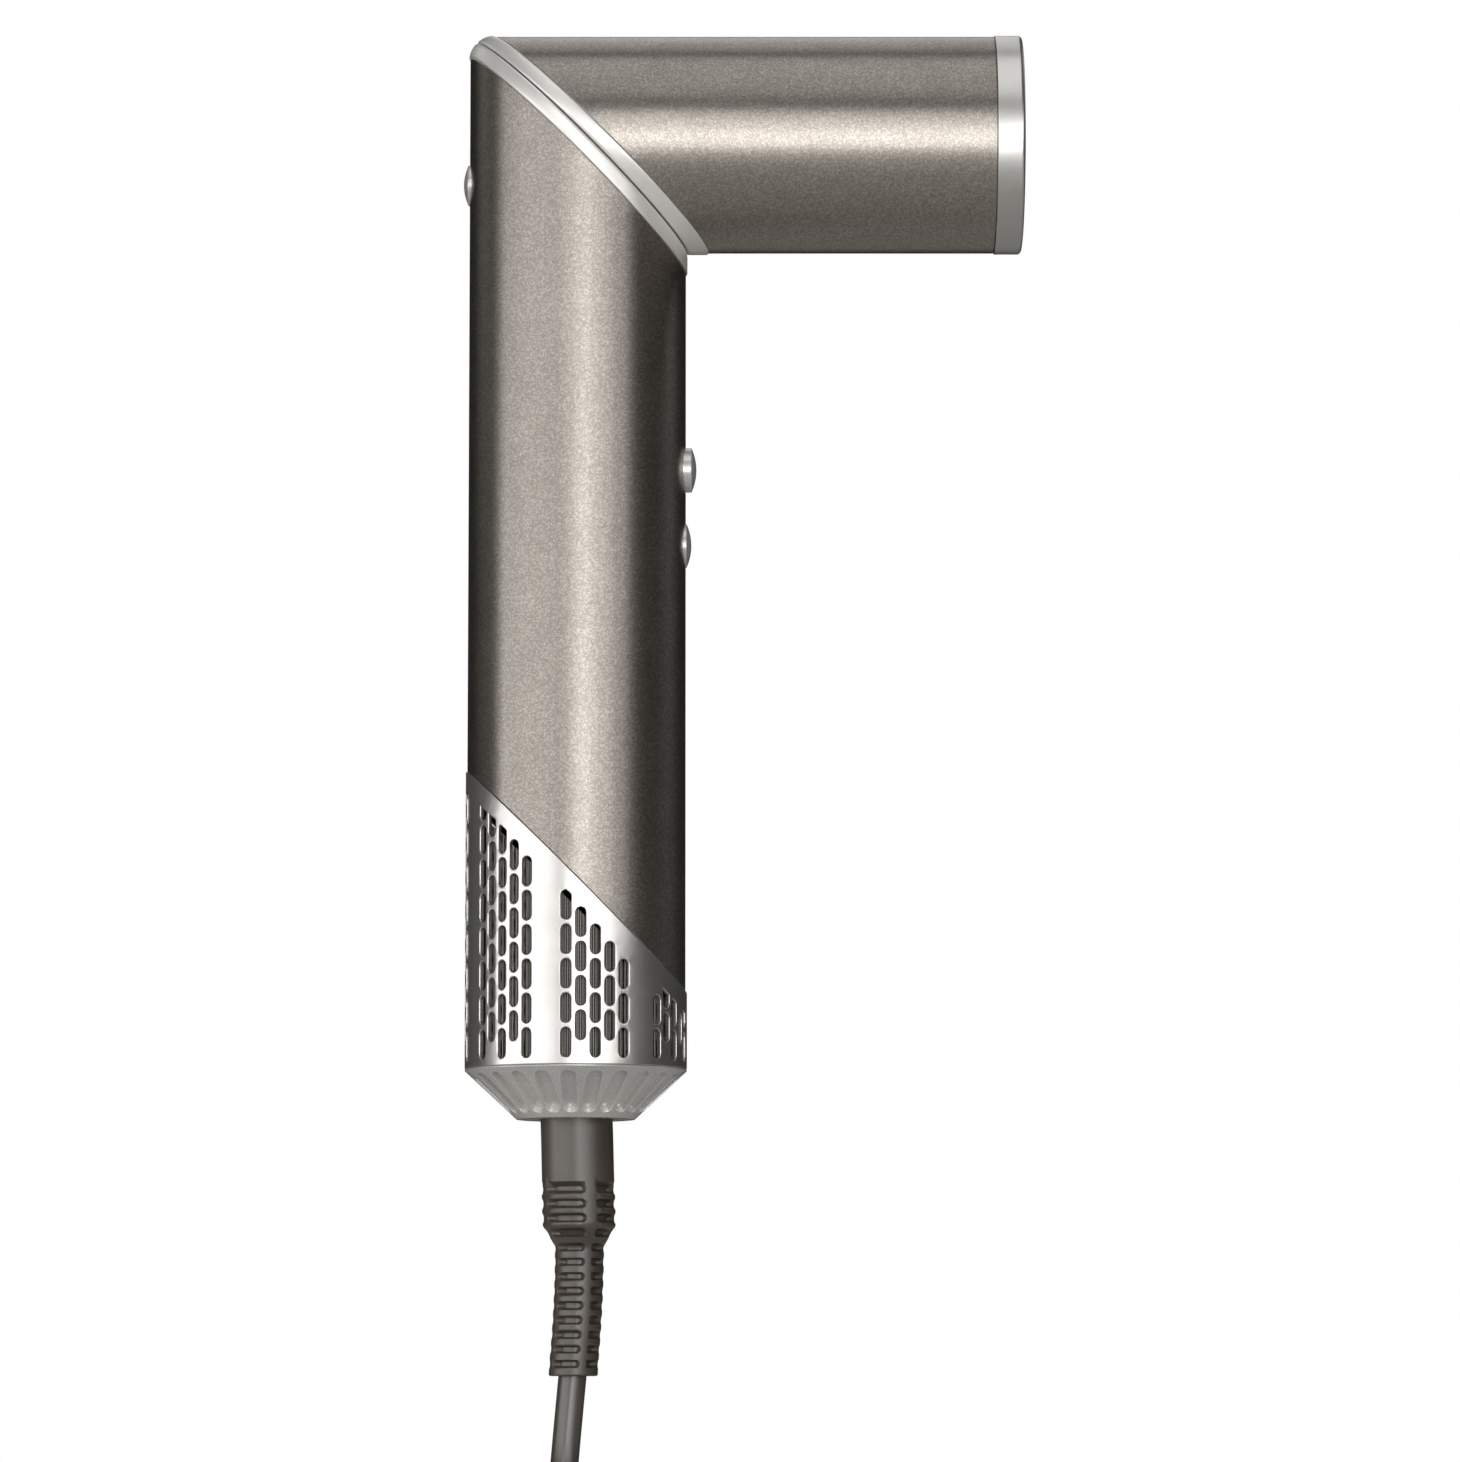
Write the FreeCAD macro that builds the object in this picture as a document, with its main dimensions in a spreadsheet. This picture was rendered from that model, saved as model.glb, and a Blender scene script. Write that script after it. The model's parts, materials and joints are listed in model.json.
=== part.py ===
import FreeCAD, Part
import math
import os
import re
import Sketcher

# Folding hair dryer. +Z is up along the handle, +X is the way the air leaves, and the origin lies on
# the handle's axis where the hand holds it. Head and handle are equal tubes that meet in a 45 degree
# mitre, and the head twists about the line square to that mitre.

Vector = FreeCAD.Vector
Rotation = FreeCAD.Rotation

doc = FreeCAD.newDocument("HairDryer")
sizes = doc.addObject("Spreadsheet::Sheet", "sizes")

DRIVING_SIZES = [
    ("pivotHeight", 100.0, "grip point up to where the two tubes' axes cross"),
    ("tubeRadius", 21.5, "outside of handle and head"),
    ("tubeWall", 1.8, "wall of both casings"),
    ("headLength", 88.2, "crossing of the axes to the outlet's front face"),
    ("cageCutDrop", 147.2, "crossing down to where the slanted cage cut meets the axis"),
    ("rimDrop", 184.1, "crossing down to the cage's lower rim"),
    ("mitreGap", 0.3, "parting gap between the two mitre rings"),
    ("mitreRingWidth", 3.0, "thickness of each mitre ring, square to the mitre"),
    ("ringProud", 0.3, "how far the mitre rings stand out of the tubes"),
    ("cornerRadius", 5.0, "rounding of the mitre's outer corner"),
    ("spigotMargin", 2.5, "casing's inside to the swivel tube"),
    ("spigotWall", 1.6, "wall of the swivel tube"),
    ("runningGap", 0.06, "radial clearance of a running fit"),
    ("slipGap", 0.1, "radial clearance of a sliding fit"),
    ("seatGap", 0.05, "clearance between pieces that sit in each other"),
    ("washerThickness", 0.8, "wave washer of the swivel"),
    ("circlipThickness", 1.0, "circlip of the swivel"),
    ("circlipOverhang", 1.0, "how far circlip and washer stand out of the swivel tube"),
    ("grooveDepth", 0.7, "depth of the circlip's groove"),
    ("flangeThickness", 1.2, "flange of the swivel tube"),
    ("flangeMargin", 0.7, "casing's inside to the swivel tube's flange"),
    ("noseRadius", 1.0, "latch bolt's nose"),
    ("noseMargin", 2.4, "swivel tube's outside to the middle of the latch bolt's nose"),
    ("noseReach", 1.15, "how far the nose stands into the head's ring"),
    ("latchStroke", 1.2, "travel of lock button and latch bolt"),
    ("boltThickness", 1.6, "latch bolt's bar"),
    ("boltWidth", 4.0, "latch bolt's bar"),
    ("outletRingWidth", 5.45, "bright ring at the air outlet"),
    ("outletProud", 0.2, "how far that ring stands out of the head"),
    ("outletWall", 3.5, "front face of the outlet ring, from its bore to its rim"),
    ("outletCollar", 7.0, "part of the outlet ring inside the casing"),
    ("grilleThickness", 2.0, "outlet grille"),
    ("grilleBar", 1.0, "width of a grille ring or spoke"),
    ("grilleRings", 3, "rings in the grille"),
    ("grilleSpokes", 8, "spokes in the grille"),
    ("micaWall", 0.5, "heat shield round the heater"),
    ("heaterMargin", 2.5, "handle's side to the heater's rear end"),
    ("heaterGap", 1.7, "heater's front end to the grille"),
    ("boardThickness", 1.0, "heater boards"),
    ("windingPitch", 5.0, "between turns of heating wire"),
    ("wireRadius", 0.45, "heating wire"),
    ("windingMargin", 3.2, "heat shield to the middle of the heating wire"),
    ("cageProud", 0.3, "how far the inlet cage stands out of the handle"),
    ("cageWall", 1.0, "wall of the inlet cage"),
    ("slotGroups", 7, "groups of slot columns round the cage"),
    ("slotColumns", 5, "columns in a group"),
    ("slotAngle", 7.6, "degrees between columns"),
    ("slotPhase", 11.4, "degrees from the front (-Y) to a group's middle column"),
    ("slotWidth", 2.1, "inlet slot"),
    ("slotLength", 5.8, "inlet slot, end to end"),
    ("slotPitch", 6.65, "between slots in a column"),
    ("slotRimGap", 1.3, "rim to the lowest slots"),
    ("slotCutGap", 3.2, "slots to the cage's slanted edge, square to it"),
    ("meshThickness", 0.4, "inlet filter"),
    ("meshGap", 0.6, "filter to cage"),
    ("collarReach", 3.0, "joining collar below the slanted cut, square to it"),
    ("collarWall", 1.0, "joining collar"),
    ("capHeight", 9.8, "cone of the end cap"),
    ("capFootRadius", 11.6, "small end of the cone"),
    ("capWall", 2.2, "end cap's wall"),
    ("capLip", 4.0, "end cap's lip inside the cage"),
    ("finCount", 24, "recesses round the cone"),
    ("finWidth", 2.7, "recess in the cone"),
    ("finLength", 11.2, "recess in the cone, along the slope"),
    ("finDepth", 0.9, "recess in the cone"),
    ("sleeveRadius", 7.08, "strain relief where it leaves the cap"),
    ("sleeveLength", 20.5, "strain relief's wide part below the cap"),
    ("neckRadius", 4.8, "strain relief's slim part"),
    ("neckLength", 29.5, "strain relief's slim part with its taper"),
    ("cordDiameter", 5.5, "mains cord"),
    ("buttonDrop", 65.4, "crossing down to the power button"),
    ("modeDrop", 80.5, "crossing down to the mode button"),
    ("lockDrop", 8.2, "crossing down to the lock button"),
    ("powerRadius", 4.4, "power button"),
    ("modeRadius", 4.35, "mode button"),
    ("lockRadius", 4.1, "lock button"),
    ("powerProud", 2.1, "power button above the casing"),
    ("modeProud", 1.1, "mode button above the casing"),
    ("lockProud", 1.2, "lock button above the casing"),
    ("buttonStroke", 1.0, "travel of power and mode button"),
    ("buttonFlange", 0.5, "how far a button's flange is wider than the button"),
    ("stemRadius", 1.5, "stem of a button"),
    ("stemFoot", 13.2, "handle axis to the end of a button's stem"),
    ("switchHeight", 3.6, "push switch on the board"),
    ("switchSide", 6.0, "push switch on the board"),
    ("circuitThickness", 1.6, "circuit board"),
    ("circuitWidth", 20.0, "circuit board"),
    ("circuitLength", 32.0, "circuit board"),
    ("carrierThickness", 1.5, "plate that carries the circuit board"),
    ("fanDrop", 106.0, "crossing down to the middle of the fan"),
    ("fanHeight", 11.0, "fan blades along the axis"),
    ("ductWall", 1.85, "wall of the fan duct"),
    ("fanHub", 6.5, "fan's hub"),
    ("fanBlades", 9, "blades of the fan"),
    ("bladeThickness", 0.9, "fan blade"),
    ("bladePitch", 38.0, "fan blade's slope in degrees"),
    ("tipGap", 0.4, "fan to duct"),
    ("vaneCount", 7, "guide vanes"),
    ("vaneHeight", 6.0, "guide vanes along the axis"),
    ("vaneThickness", 0.8, "guide vane"),
    ("strutCount", 5, "struts that hold the motor"),
    ("strutThickness", 1.2, "strut"),
    ("motorRadius", 13.0, "motor can"),
    ("motorLength", 34.0, "motor can"),
    ("canWall", 1.0, "motor can"),
    ("magnetThickness", 2.6, "motor magnets"),
    ("rotorRadius", 8.6, "rotor's iron core"),
    ("rotorLength", 14.0, "rotor's iron core"),
    ("coilRadius", 7.4, "end turns of the rotor's winding"),
    ("coilLength", 2.5, "end turns of the rotor's winding"),
    ("commutatorRadius", 3.2, "commutator"),
    ("commutatorLength", 5.0, "commutator"),
    ("shaftRadius", 1.5, "motor shaft"),
    ("bearingRadius", 4.0, "motor bearings"),
    ("bearingLength", 3.0, "motor bearings"),
    ("mountThickness", 1.0, "rubber sleeve round the motor"),
    ("hankGap", 30.1, "strain relief's end down to the top of the put-away hank"),
    ("hankBend", 22.6, "outer bend radius of the hank, to the cord's middle"),
    ("hankStraight", 30.0, "half the distance between the centres of the hank's end bends"),
    ("hankBack", 19.2, "hank's rear face behind the handle's axis"),
    ("hankFront", 9.0, "hank's front face before the handle's axis"),
    ("waistHalf", 12.9, "half the hank's width under its tie"),
    ("tieHeight", 9.0, "tie round the hank"),
    ("tieThickness", 1.2, "tie round the hank"),
    ("plugGap", 163.5, "strain relief's end down to the top of the plug's body"),
    ("plugWidth", 26.0, "plug body"),
    ("plugDepth", 17.0, "plug body"),
    ("plugLength", 30.0, "plug body"),
    ("plugCorner", 4.0, "rounding of the plug body"),
    ("plugTail", 14.0, "plug's own strain relief"),
    ("bladeWidth", 6.3, "plug blade"),
    ("bladeGauge", 1.5, "plug blade"),
    ("bladeLength", 17.5, "plug blade"),
    ("bladeSpacing", 12.7, "between the plug's blades"),
]

# Sizes that follow from the ones above. A meaning uses only names that stand below its own.
DERIVED_SIZES = {
    "circlipRadius": "(spigotRadius + circlipOverhang)",
    "noseOffset": "(spigotRadius + noseMargin)",
    "spigotRadius": "(tubeRadius - tubeWall - spigotMargin)",
    "flangeRadius": "(tubeRadius - tubeWall - flangeMargin)",
    "outletBore": "(tubeRadius + outletProud - outletWall)",
    "heaterLength": "(grilleStart - heaterGap - heaterStart)",
    "heaterStart": "(tubeRadius + heaterMargin)",
    "grilleStart": "(headLength - outletRingWidth - outletCollar - seatGap - grilleThickness)",
    "windingRadius": "(tubeRadius - tubeWall - micaWall * 2 - windingMargin)",
    "cageRadius": "(tubeRadius + cageProud)",
    "fanRadius": "(tubeRadius - tubeWall - seatGap - ductWall - tipGap)",
    "hankTop": "(reliefEnd + hankGap)",
    "plugDrop": "(reliefEnd + plugGap)",
    "reliefEnd": "(rimDrop + capHeight + sleeveLength + neckLength)",
}

for row, (alias, number, note) in enumerate(DRIVING_SIZES, start=1):
    sizes.set(f"A{row}", alias)
    sizes.set(f"B{row}", str(number))
    sizes.set(f"C{row}", note)
    sizes.setAlias(f"B{row}", alias)
doc.recompute()

ALONG_Z = Rotation()
ALONG_X = Rotation(Vector(0, 1, 0), 90)           # local Z to +X
ALONG_MINUS_X = Rotation(Vector(0, 1, 0), -90)    # local Z to -X
ALONG_TWIST = Rotation(Vector(0, 1, 0), 45)       # local Z square to the mitre, towards the head
AGAINST_TWIST = Rotation(Vector(0, 1, 0), -135)   # the other way
ALONG_Y = Rotation(Vector(1, 0, 0), -90)          # local Z to +Y

pieces = []


def bound(expression):
    """Write derived sizes out, then point each camelCase word of an expression at its cell."""
    for name, meaning in DERIVED_SIZES.items():
        expression = re.sub(rf"\b{name}\b", meaning, expression)
    return re.sub(r"\b([a-z]+[A-Z]\w*)\b", r"sizes.\1", expression)


def value(expression):
    return float(sizes.evalExpression(bound(expression)))


def bind(item, **expressions):
    for name, expression in expressions.items():
        item.setExpression(name, bound(expression))


def place(item, at, turn=ALONG_Z):
    """Set an object down at three expressions, turned by a fixed rotation."""
    item.Placement = FreeCAD.Placement(Vector(*[value(part) for part in at]), turn)
    for axis, part in zip("xyz", at):
        item.setExpression("Placement.Base." + axis, bound(part))
    return item


def cylinder(name, radius, height, at=("0", "0", "0"), turn=ALONG_Z):
    item = doc.addObject("Part::Cylinder", name)
    bind(item, Radius=radius, Height=height)
    return place(item, at, turn)


def block(name, length, width, height, at):
    """Upright box whose base is centred on its place."""
    item = doc.addObject("Part::Box", name)
    bind(item, Length=length, Width=width, Height=height)
    return place(item, (f"{at[0]} - ({length}) / 2", f"{at[1]} - ({width}) / 2", at[2]))


def fused(name, items):
    item = doc.addObject("Part::MultiFuse", name)
    item.Shapes = items
    return item


def cut(name, base, *tools):
    """Take the tools away from the base."""
    tool = tools[0] if len(tools) == 1 else fused(name + "Tools", list(tools))
    item = doc.addObject("Part::Cut", name)
    item.Base = base
    item.Tool = tool
    return item


def common(name, base, tool):
    item = doc.addObject("Part::Common", name)
    item.Base = base
    item.Tool = tool
    return item


def planeOf(body, role):
    return next(item for item in body.Origin.OriginFeatures if item.Role == role)


def polygonSketch(body, name, corners, role="XZ_Plane", offset=None):
    """Closed outline whose corners are each held by two dimensions from the sketch's origin."""
    sketch = body.newObject("Sketcher::SketchObject", name)
    sketch.AttachmentSupport = [(planeOf(body, role), "")]
    sketch.MapMode = "FlatFace"
    if offset:
        sketch.AttachmentOffset = offset
    points = [Vector(value(across), value(up), 0) for across, up in corners]
    count = len(points)
    for index in range(count):
        sketch.addGeometry(Part.LineSegment(points[index], points[(index + 1) % count]), False)
    for index in range(count):
        sketch.addConstraint(Sketcher.Constraint("Coincident", index, 2, (index + 1) % count, 1))
    for index, corner in enumerate(corners):
        for kind, axis, expression in (("DistanceX", -2, corner[0]), ("DistanceY", -1, corner[1])):
            if expression == "0":
                sketch.addConstraint(Sketcher.Constraint("PointOnObject", index, 1, axis))
                continue
            number = sketch.addConstraint(
                Sketcher.Constraint(kind, -1, 1, index, 1, value(expression)))
            sketch.setExpression(f"Constraints[{number}]", bound(expression))
    return sketch


def newBody(name, at=("0", "0", "0"), turn=ALONG_Z):
    return place(doc.addObject("PartDesign::Body", name), at, turn)


def revolve(body, name, corners):
    """Turn an outline of (radius, height) pairs about the body's own Z."""
    item = body.newObject("PartDesign::Revolution", name)
    item.Profile = polygonSketch(body, name + "Outline", corners)
    item.ReferenceAxis = (item.Profile[0], ["V_Axis"])
    item.Angle = 360.0
    return item


def turned(name, corners, at=("0", "0", "0"), turn=ALONG_Z):
    body = newBody(name, at, turn)
    revolve(body, name + "Turning", corners)
    return body


def roundEdges(body, base, radius, chosen):
    """Fillet the edges of a feature that the test picks."""
    doc.recompute()
    names = [f"Edge{number}" for number, edge in enumerate(base.Shape.Edges, start=1) if chosen(edge)]
    item = body.newObject("PartDesign::Fillet", base.Name + "Round")
    item.Base = (base, names)
    item.setExpression("Radius", bound(radius))
    body.Tip = item
    return item


def repeated(body, feature, count):
    item = body.newObject("PartDesign::PolarPattern", feature.Name + "Ring")
    item.Originals = [feature]
    item.Axis = (planeOf(body, "Z_Axis"), [""])
    item.Angle = 360.0
    item.setExpression("Occurrences", bound(count))
    body.Tip = item
    return item


def piece(item, label):
    item.Label = label
    pieces.append(item)
    return item


def onTwistAxis(offset, sideways="0"):
    """Place at an offset along the twist axis and another across it, towards the outer corner."""
    return (f"(({offset}) - ({sideways})) * sqrt(0.5)", "0",
            f"pivotHeight + (({offset}) + ({sideways})) * sqrt(0.5)")


def aboveMitre(name, offset):
    """Everything on the head's side of a plane parallel to the mitre."""
    return cylinder(name, "tubeRadius * 8", "tubeRadius * 16", onTwistAxis(offset), ALONG_TWIST)


def belowMitre(name, offset):
    return cylinder(name, "tubeRadius * 8", "tubeRadius * 16", onTwistAxis(offset), AGAINST_TWIST)


def fromPivot(drop):
    return f"pivotHeight - ({drop})"


# Planes parallel to the mitre, as offsets along the twist axis.
RING_TOP = "mitreGap / 2"
RING_END = "(mitreGap / 2 + mitreRingWidth)"
CAGE_CUT = "(-cageCutDrop * sqrt(0.5))"


def handleCasing():
    outer = cylinder("casingOuter", "tubeRadius", "cageCutDrop + tubeRadius * 3",
                     ("0", "0", fromPivot("cageCutDrop + tubeRadius * 1.5")))
    inner = cylinder("casingInner", "tubeRadius - tubeWall", "cageCutDrop + tubeRadius * 4",
                     ("0", "0", fromPivot("cageCutDrop + tubeRadius * 2")))
    holes = []
    for name, drop, turn in (("power", "buttonDrop", ALONG_X), ("mode", "modeDrop", ALONG_X),
                             ("lock", "lockDrop", ALONG_MINUS_X)):
        holes.append(cylinder(name + "Hole", name + "Radius + slipGap", "tubeRadius * 1.5",
                              ("0", "0", fromPivot(drop)), turn))
    piece(cut("handleCasing", outer, inner, aboveMitre("casingTop", "-" + RING_END),
              belowMitre("casingFoot", CAGE_CUT + " + seatGap / 2"), *holes), "handle_casing")


def cornerCutter(name):
    """What the rounding takes off the mitre's outer corner."""
    outside = "(tubeRadius + ringProud)"
    corner = block(name + "Block", "cornerRadius * 2", outside + " * 3", "cornerRadius * 2",
                   (f"-{outside}", "0", f"pivotHeight + {outside} - cornerRadius"))
    rounding = cylinder(name + "Round", "cornerRadius", outside + " * 4",
                        (f"cornerRadius - {outside}", f"-{outside} * 2",
                         f"pivotHeight + {outside} - cornerRadius"), ALONG_Y)
    return cut(name, corner, rounding)


def mitreRings():
    """The two bright rings either side of the parting gap, each bored for the swivel tube."""
    outside = "tubeRadius + ringProud"
    lowTube = cylinder("lowRingTube", outside, "tubeRadius * 6", ("0", "0", fromPivot("tubeRadius * 3")))
    lowSlab = cylinder("lowRingSlab", "tubeRadius * 4", "mitreRingWidth",
                       onTwistAxis("-" + RING_END), ALONG_TWIST)
    bore = cylinder("lowRingBore", "spigotRadius + runningGap", "tubeRadius * 2",
                    onTwistAxis("-tubeRadius"), ALONG_TWIST)
    noseHole = cylinder("noseHole", "noseRadius + slipGap", "tubeRadius * 2",
                        onTwistAxis("-tubeRadius", "noseOffset"), ALONG_TWIST)
    piece(cut("handleRing", common("lowRing", lowTube, lowSlab), bore, noseHole, cornerCutter("lowCorner")),
          "handle_mitre_ring")

    highTube = cylinder("highRingTube", outside, "tubeRadius * 6",
                        ("-tubeRadius * 3", "0", "pivotHeight"), ALONG_X)
    highSlab = cylinder("highRingSlab", "tubeRadius * 4", "mitreRingWidth",
                        onTwistAxis(RING_TOP), ALONG_TWIST)
    seat = cylinder("highRingBore", "spigotRadius + seatGap", "tubeRadius * 2",
                    onTwistAxis("-tubeRadius"), ALONG_TWIST)
    # half-turn track for the latch's nose, on the +Y side
    inner, outer = "noseOffset - noseRadius - slipGap * 2", "noseOffset + noseRadius + slipGap * 2"
    track = turned("noseTrack", [(inner, "-mitreGap"), (outer, "-mitreGap"),
                                 (outer, "noseReach + slipGap * 2"), (inner, "noseReach + slipGap * 2")],
                   onTwistAxis("0"), ALONG_TWIST)
    half = block("trackHalf", "tubeRadius * 6", "tubeRadius * 4", "tubeRadius * 6",
                 ("0", "tubeRadius * 2", fromPivot("tubeRadius * 3")))
    ends = [cylinder("trackEnd" + name, "noseRadius + slipGap * 2", "mitreGap + noseReach + slipGap * 2",
                     onTwistAxis("-mitreGap", side + "noseOffset"), ALONG_TWIST)
            for name, side in (("Rest", ""), ("Straight", "-"))]
    groove = fused("noseGroove", [common("trackArc", track, half)] + ends)
    piece(cut("headRing", common("highRing", highTube, highSlab), seat, groove, cornerCutter("highCorner")),
          "head_mitre_ring")


def swivel():
    inside = "spigotRadius - spigotWall"
    washerFoot = f"(-{RING_END} - washerThickness)"
    clipTop = f"({washerFoot} - runningGap)"
    clipFoot = f"({clipTop} - circlipThickness)"
    grooveFoot = f"({clipFoot} - seatGap)"
    tubeFoot = grooveFoot + " - grooveDepth * 1.5"
    grooveRadius = "spigotRadius - grooveDepth"
    piece(turned("swivelTube", [
        (inside, tubeFoot), ("spigotRadius", tubeFoot), ("spigotRadius", grooveFoot),
        (grooveRadius, grooveFoot), (grooveRadius, clipTop + " + seatGap"),
        ("spigotRadius", clipTop + " + seatGap"), ("spigotRadius", RING_END), ("flangeRadius", RING_END),
        ("flangeRadius", RING_END + " + flangeThickness"), (inside, RING_END + " + flangeThickness"),
    ], onTwistAxis("0"), ALONG_TWIST), "swivel_tube")
    piece(turned("washer", [
        ("spigotRadius + slipGap", washerFoot), ("circlipRadius", washerFoot),
        ("circlipRadius", "-" + RING_END), ("spigotRadius + slipGap", "-" + RING_END),
    ], onTwistAxis("0"), ALONG_TWIST), "swivel_washer")
    piece(turned("circlip", [
        (grooveRadius + " + seatGap", clipFoot), ("circlipRadius", clipFoot),
        ("circlipRadius", clipTop), (grooveRadius + " + seatGap", clipTop),
    ], onTwistAxis("0"), ALONG_TWIST), "swivel_circlip")


def latchBolt():
    """Nose through the handle's ring, on a bar that runs down behind the lock button."""
    noseFoot = f"({RING_END} + washerThickness + circlipThickness + slipGap)"
    nose = cylinder("boltNose", "noseRadius", f"noseReach + {noseFoot}",
                    onTwistAxis(f"-{noseFoot}", "noseOffset"), ALONG_TWIST)
    barTop = f"((noseOffset - {noseFoot}) * sqrt(0.5) + noseRadius * 0.5)"
    barFoot = "(-lockDrop + lockRadius + buttonFlange + latchStroke + slipGap)"
    bar = block("boltBar", "boltThickness", "boltWidth", f"{barTop} - {barFoot}",
                (f"-(noseOffset + {noseFoot}) * sqrt(0.5) - slipGap * 2", "0", f"pivotHeight + {barFoot}"))
    piece(fused("latchBolt", [nose, bar]), "latch_bolt")


def button(name, drop, turn, stemEnd):
    """Cap with a rounded rim, a flange that keeps it in the casing, and a stem behind."""
    radius = name + "Radius"
    flange = f"({radius} + buttonFlange)"
    seat = f"(sqrt((tubeRadius - tubeWall) ^ 2 - {flange} ^ 2) - slipGap)"
    back = seat + " - flangeThickness * 0.6"
    top = f"(tubeRadius + {name}Proud)"
    body = newBody(name + "Button", ("0", "0", fromPivot(drop)), turn)
    form = revolve(body, name + "Form", [
        ("0", stemEnd), ("stemRadius", stemEnd), ("stemRadius", back), (flange, back),
        (flange, seat), (radius, seat), (radius, top), ("0", top)])
    edgeRadius, rim = value(radius), value(top)

    def isRim(edge):
        return (edge.Curve.TypeId == "Part::GeomCircle" and abs(edge.Curve.Radius - edgeRadius) < 1e-4
                and abs(edge.BoundBox.ZMax - rim) < 1e-3 and edge.BoundBox.ZLength < 1e-3)

    roundEdges(body, form, f"{name}Proud * 0.85", isRim)
    piece(body, name + "_button")


def slotCutter(outward, foot, limit):
    """One inlet slot with round ends, through the cage's wall, trimmed where it meets the limit."""
    half, length = value("slotWidth") / 2, value("slotLength")
    across = Vector(-outward.y, outward.x, 0)
    start = outward * (value("cageRadius") - value("cageWall") * 3)

    def at(side, height):
        return start + across * (side * half) + Vector(0, 0, foot + height)

    outline = Part.Wire([
        Part.LineSegment(at(1, half), at(1, length - half)).toShape(),
        Part.Arc(at(1, length - half), at(0, length), at(-1, length - half)).toShape(),
        Part.LineSegment(at(-1, length - half), at(-1, half)).toShape(),
        Part.Arc(at(-1, half), at(0, 0), at(1, half)).toShape()])
    cutter = Part.Face(outline).extrude(outward * (value("cageWall") * 6))
    return cutter.common(limit) if limit else cutter


def cageSlots():
    """Cutters for the inlet slots: columns in groups, every second column half a pitch higher, each
    column stopped by a line parallel to the cage's slanted edge."""
    radius, pitch, length = value("cageRadius"), value("slotPitch"), value("slotLength")
    columns, groups = int(value("slotColumns")), int(value("slotGroups"))
    cutHeight = value("pivotHeight - cageCutDrop - slotCutGap * sqrt(2)")
    shortest = value("slotWidth") * 0.8
    limit = Part.makeCylinder(radius * 8, radius * 16, Vector(0, 0, cutHeight), Vector(-1, 0, -1))
    cutters = []
    for number in range(groups * columns):
        group, column = divmod(number, columns)
        degrees = value("slotPhase") + group * 360.0 / groups + (column - (columns - 1) / 2) * value("slotAngle")
        outward = Vector(math.sin(math.radians(degrees)), -math.cos(math.radians(degrees)), 0)
        ceiling = cutHeight - radius * outward.x
        foot = value("pivotHeight - rimDrop + slotRimGap") + (column % 2) * pitch / 2
        while foot < ceiling - shortest:
            cutters.append(slotCutter(outward, foot, limit if foot + length > ceiling - length / 2 else None))
            foot += pitch
    item = doc.addObject("Part::Feature", "slotCutters")
    item.Shape = Part.makeCompound(cutters)
    return item


def inletCage():
    tube = cylinder("cageTube", "cageRadius", "rimDrop", ("0", "0", fromPivot("rimDrop")))
    inner = cylinder("cageBore", "cageRadius - cageWall", "rimDrop * 2", ("0", "0", fromPivot("rimDrop * 1.5")))
    sleeve = cut("cageSleeve", tube, inner, aboveMitre("cageTop", CAGE_CUT + " - seatGap / 2"))
    piece(cut("cageSlotted", sleeve, cageSlots()), "inlet_cage")

    mesh = "(cageRadius - cageWall - meshGap)"
    screen = cylinder("meshTube", mesh, "rimDrop", ("0", "0", fromPivot("rimDrop - capLip - seatGap")))
    inside = cylinder("meshBore", mesh + " - meshThickness", "rimDrop * 2",
                      ("0", "0", fromPivot("rimDrop * 1.5")))
    piece(cut("filterScreen", screen, inside, aboveMitre("meshTop", CAGE_CUT + " - collarReach - seatGap")),
          "filter_screen")


def joiningCollar():
    """Stepped sleeve that joins cage and handle inside the slanted cut."""
    lowRadius = "cageRadius - cageWall - seatGap"
    highRadius = "tubeRadius - tubeWall - seatGap"
    low = common("collarLow",
                 cylinder("collarLowTube", lowRadius, "rimDrop", ("0", "0", fromPivot("rimDrop"))),
                 cylinder("collarLowSlab", "cageCutDrop * 2", "collarReach - seatGap",
                          onTwistAxis(CAGE_CUT + " - collarReach"), ALONG_TWIST))
    high = common("collarHigh",
                  cylinder("collarHighTube", highRadius, "rimDrop", ("0", "0", fromPivot("rimDrop"))),
                  cylinder("collarHighSlab", "cageCutDrop * 2", "collarReach * 2.5",
                           onTwistAxis(CAGE_CUT + " - collarReach"), ALONG_TWIST))
    bore = cylinder("collarBore", highRadius + " - collarWall", "rimDrop * 2",
                    ("0", "0", fromPivot("rimDrop * 1.5")))
    piece(cut("collar", fused("collarBlank", [low, high]), bore), "joining_collar")


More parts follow.
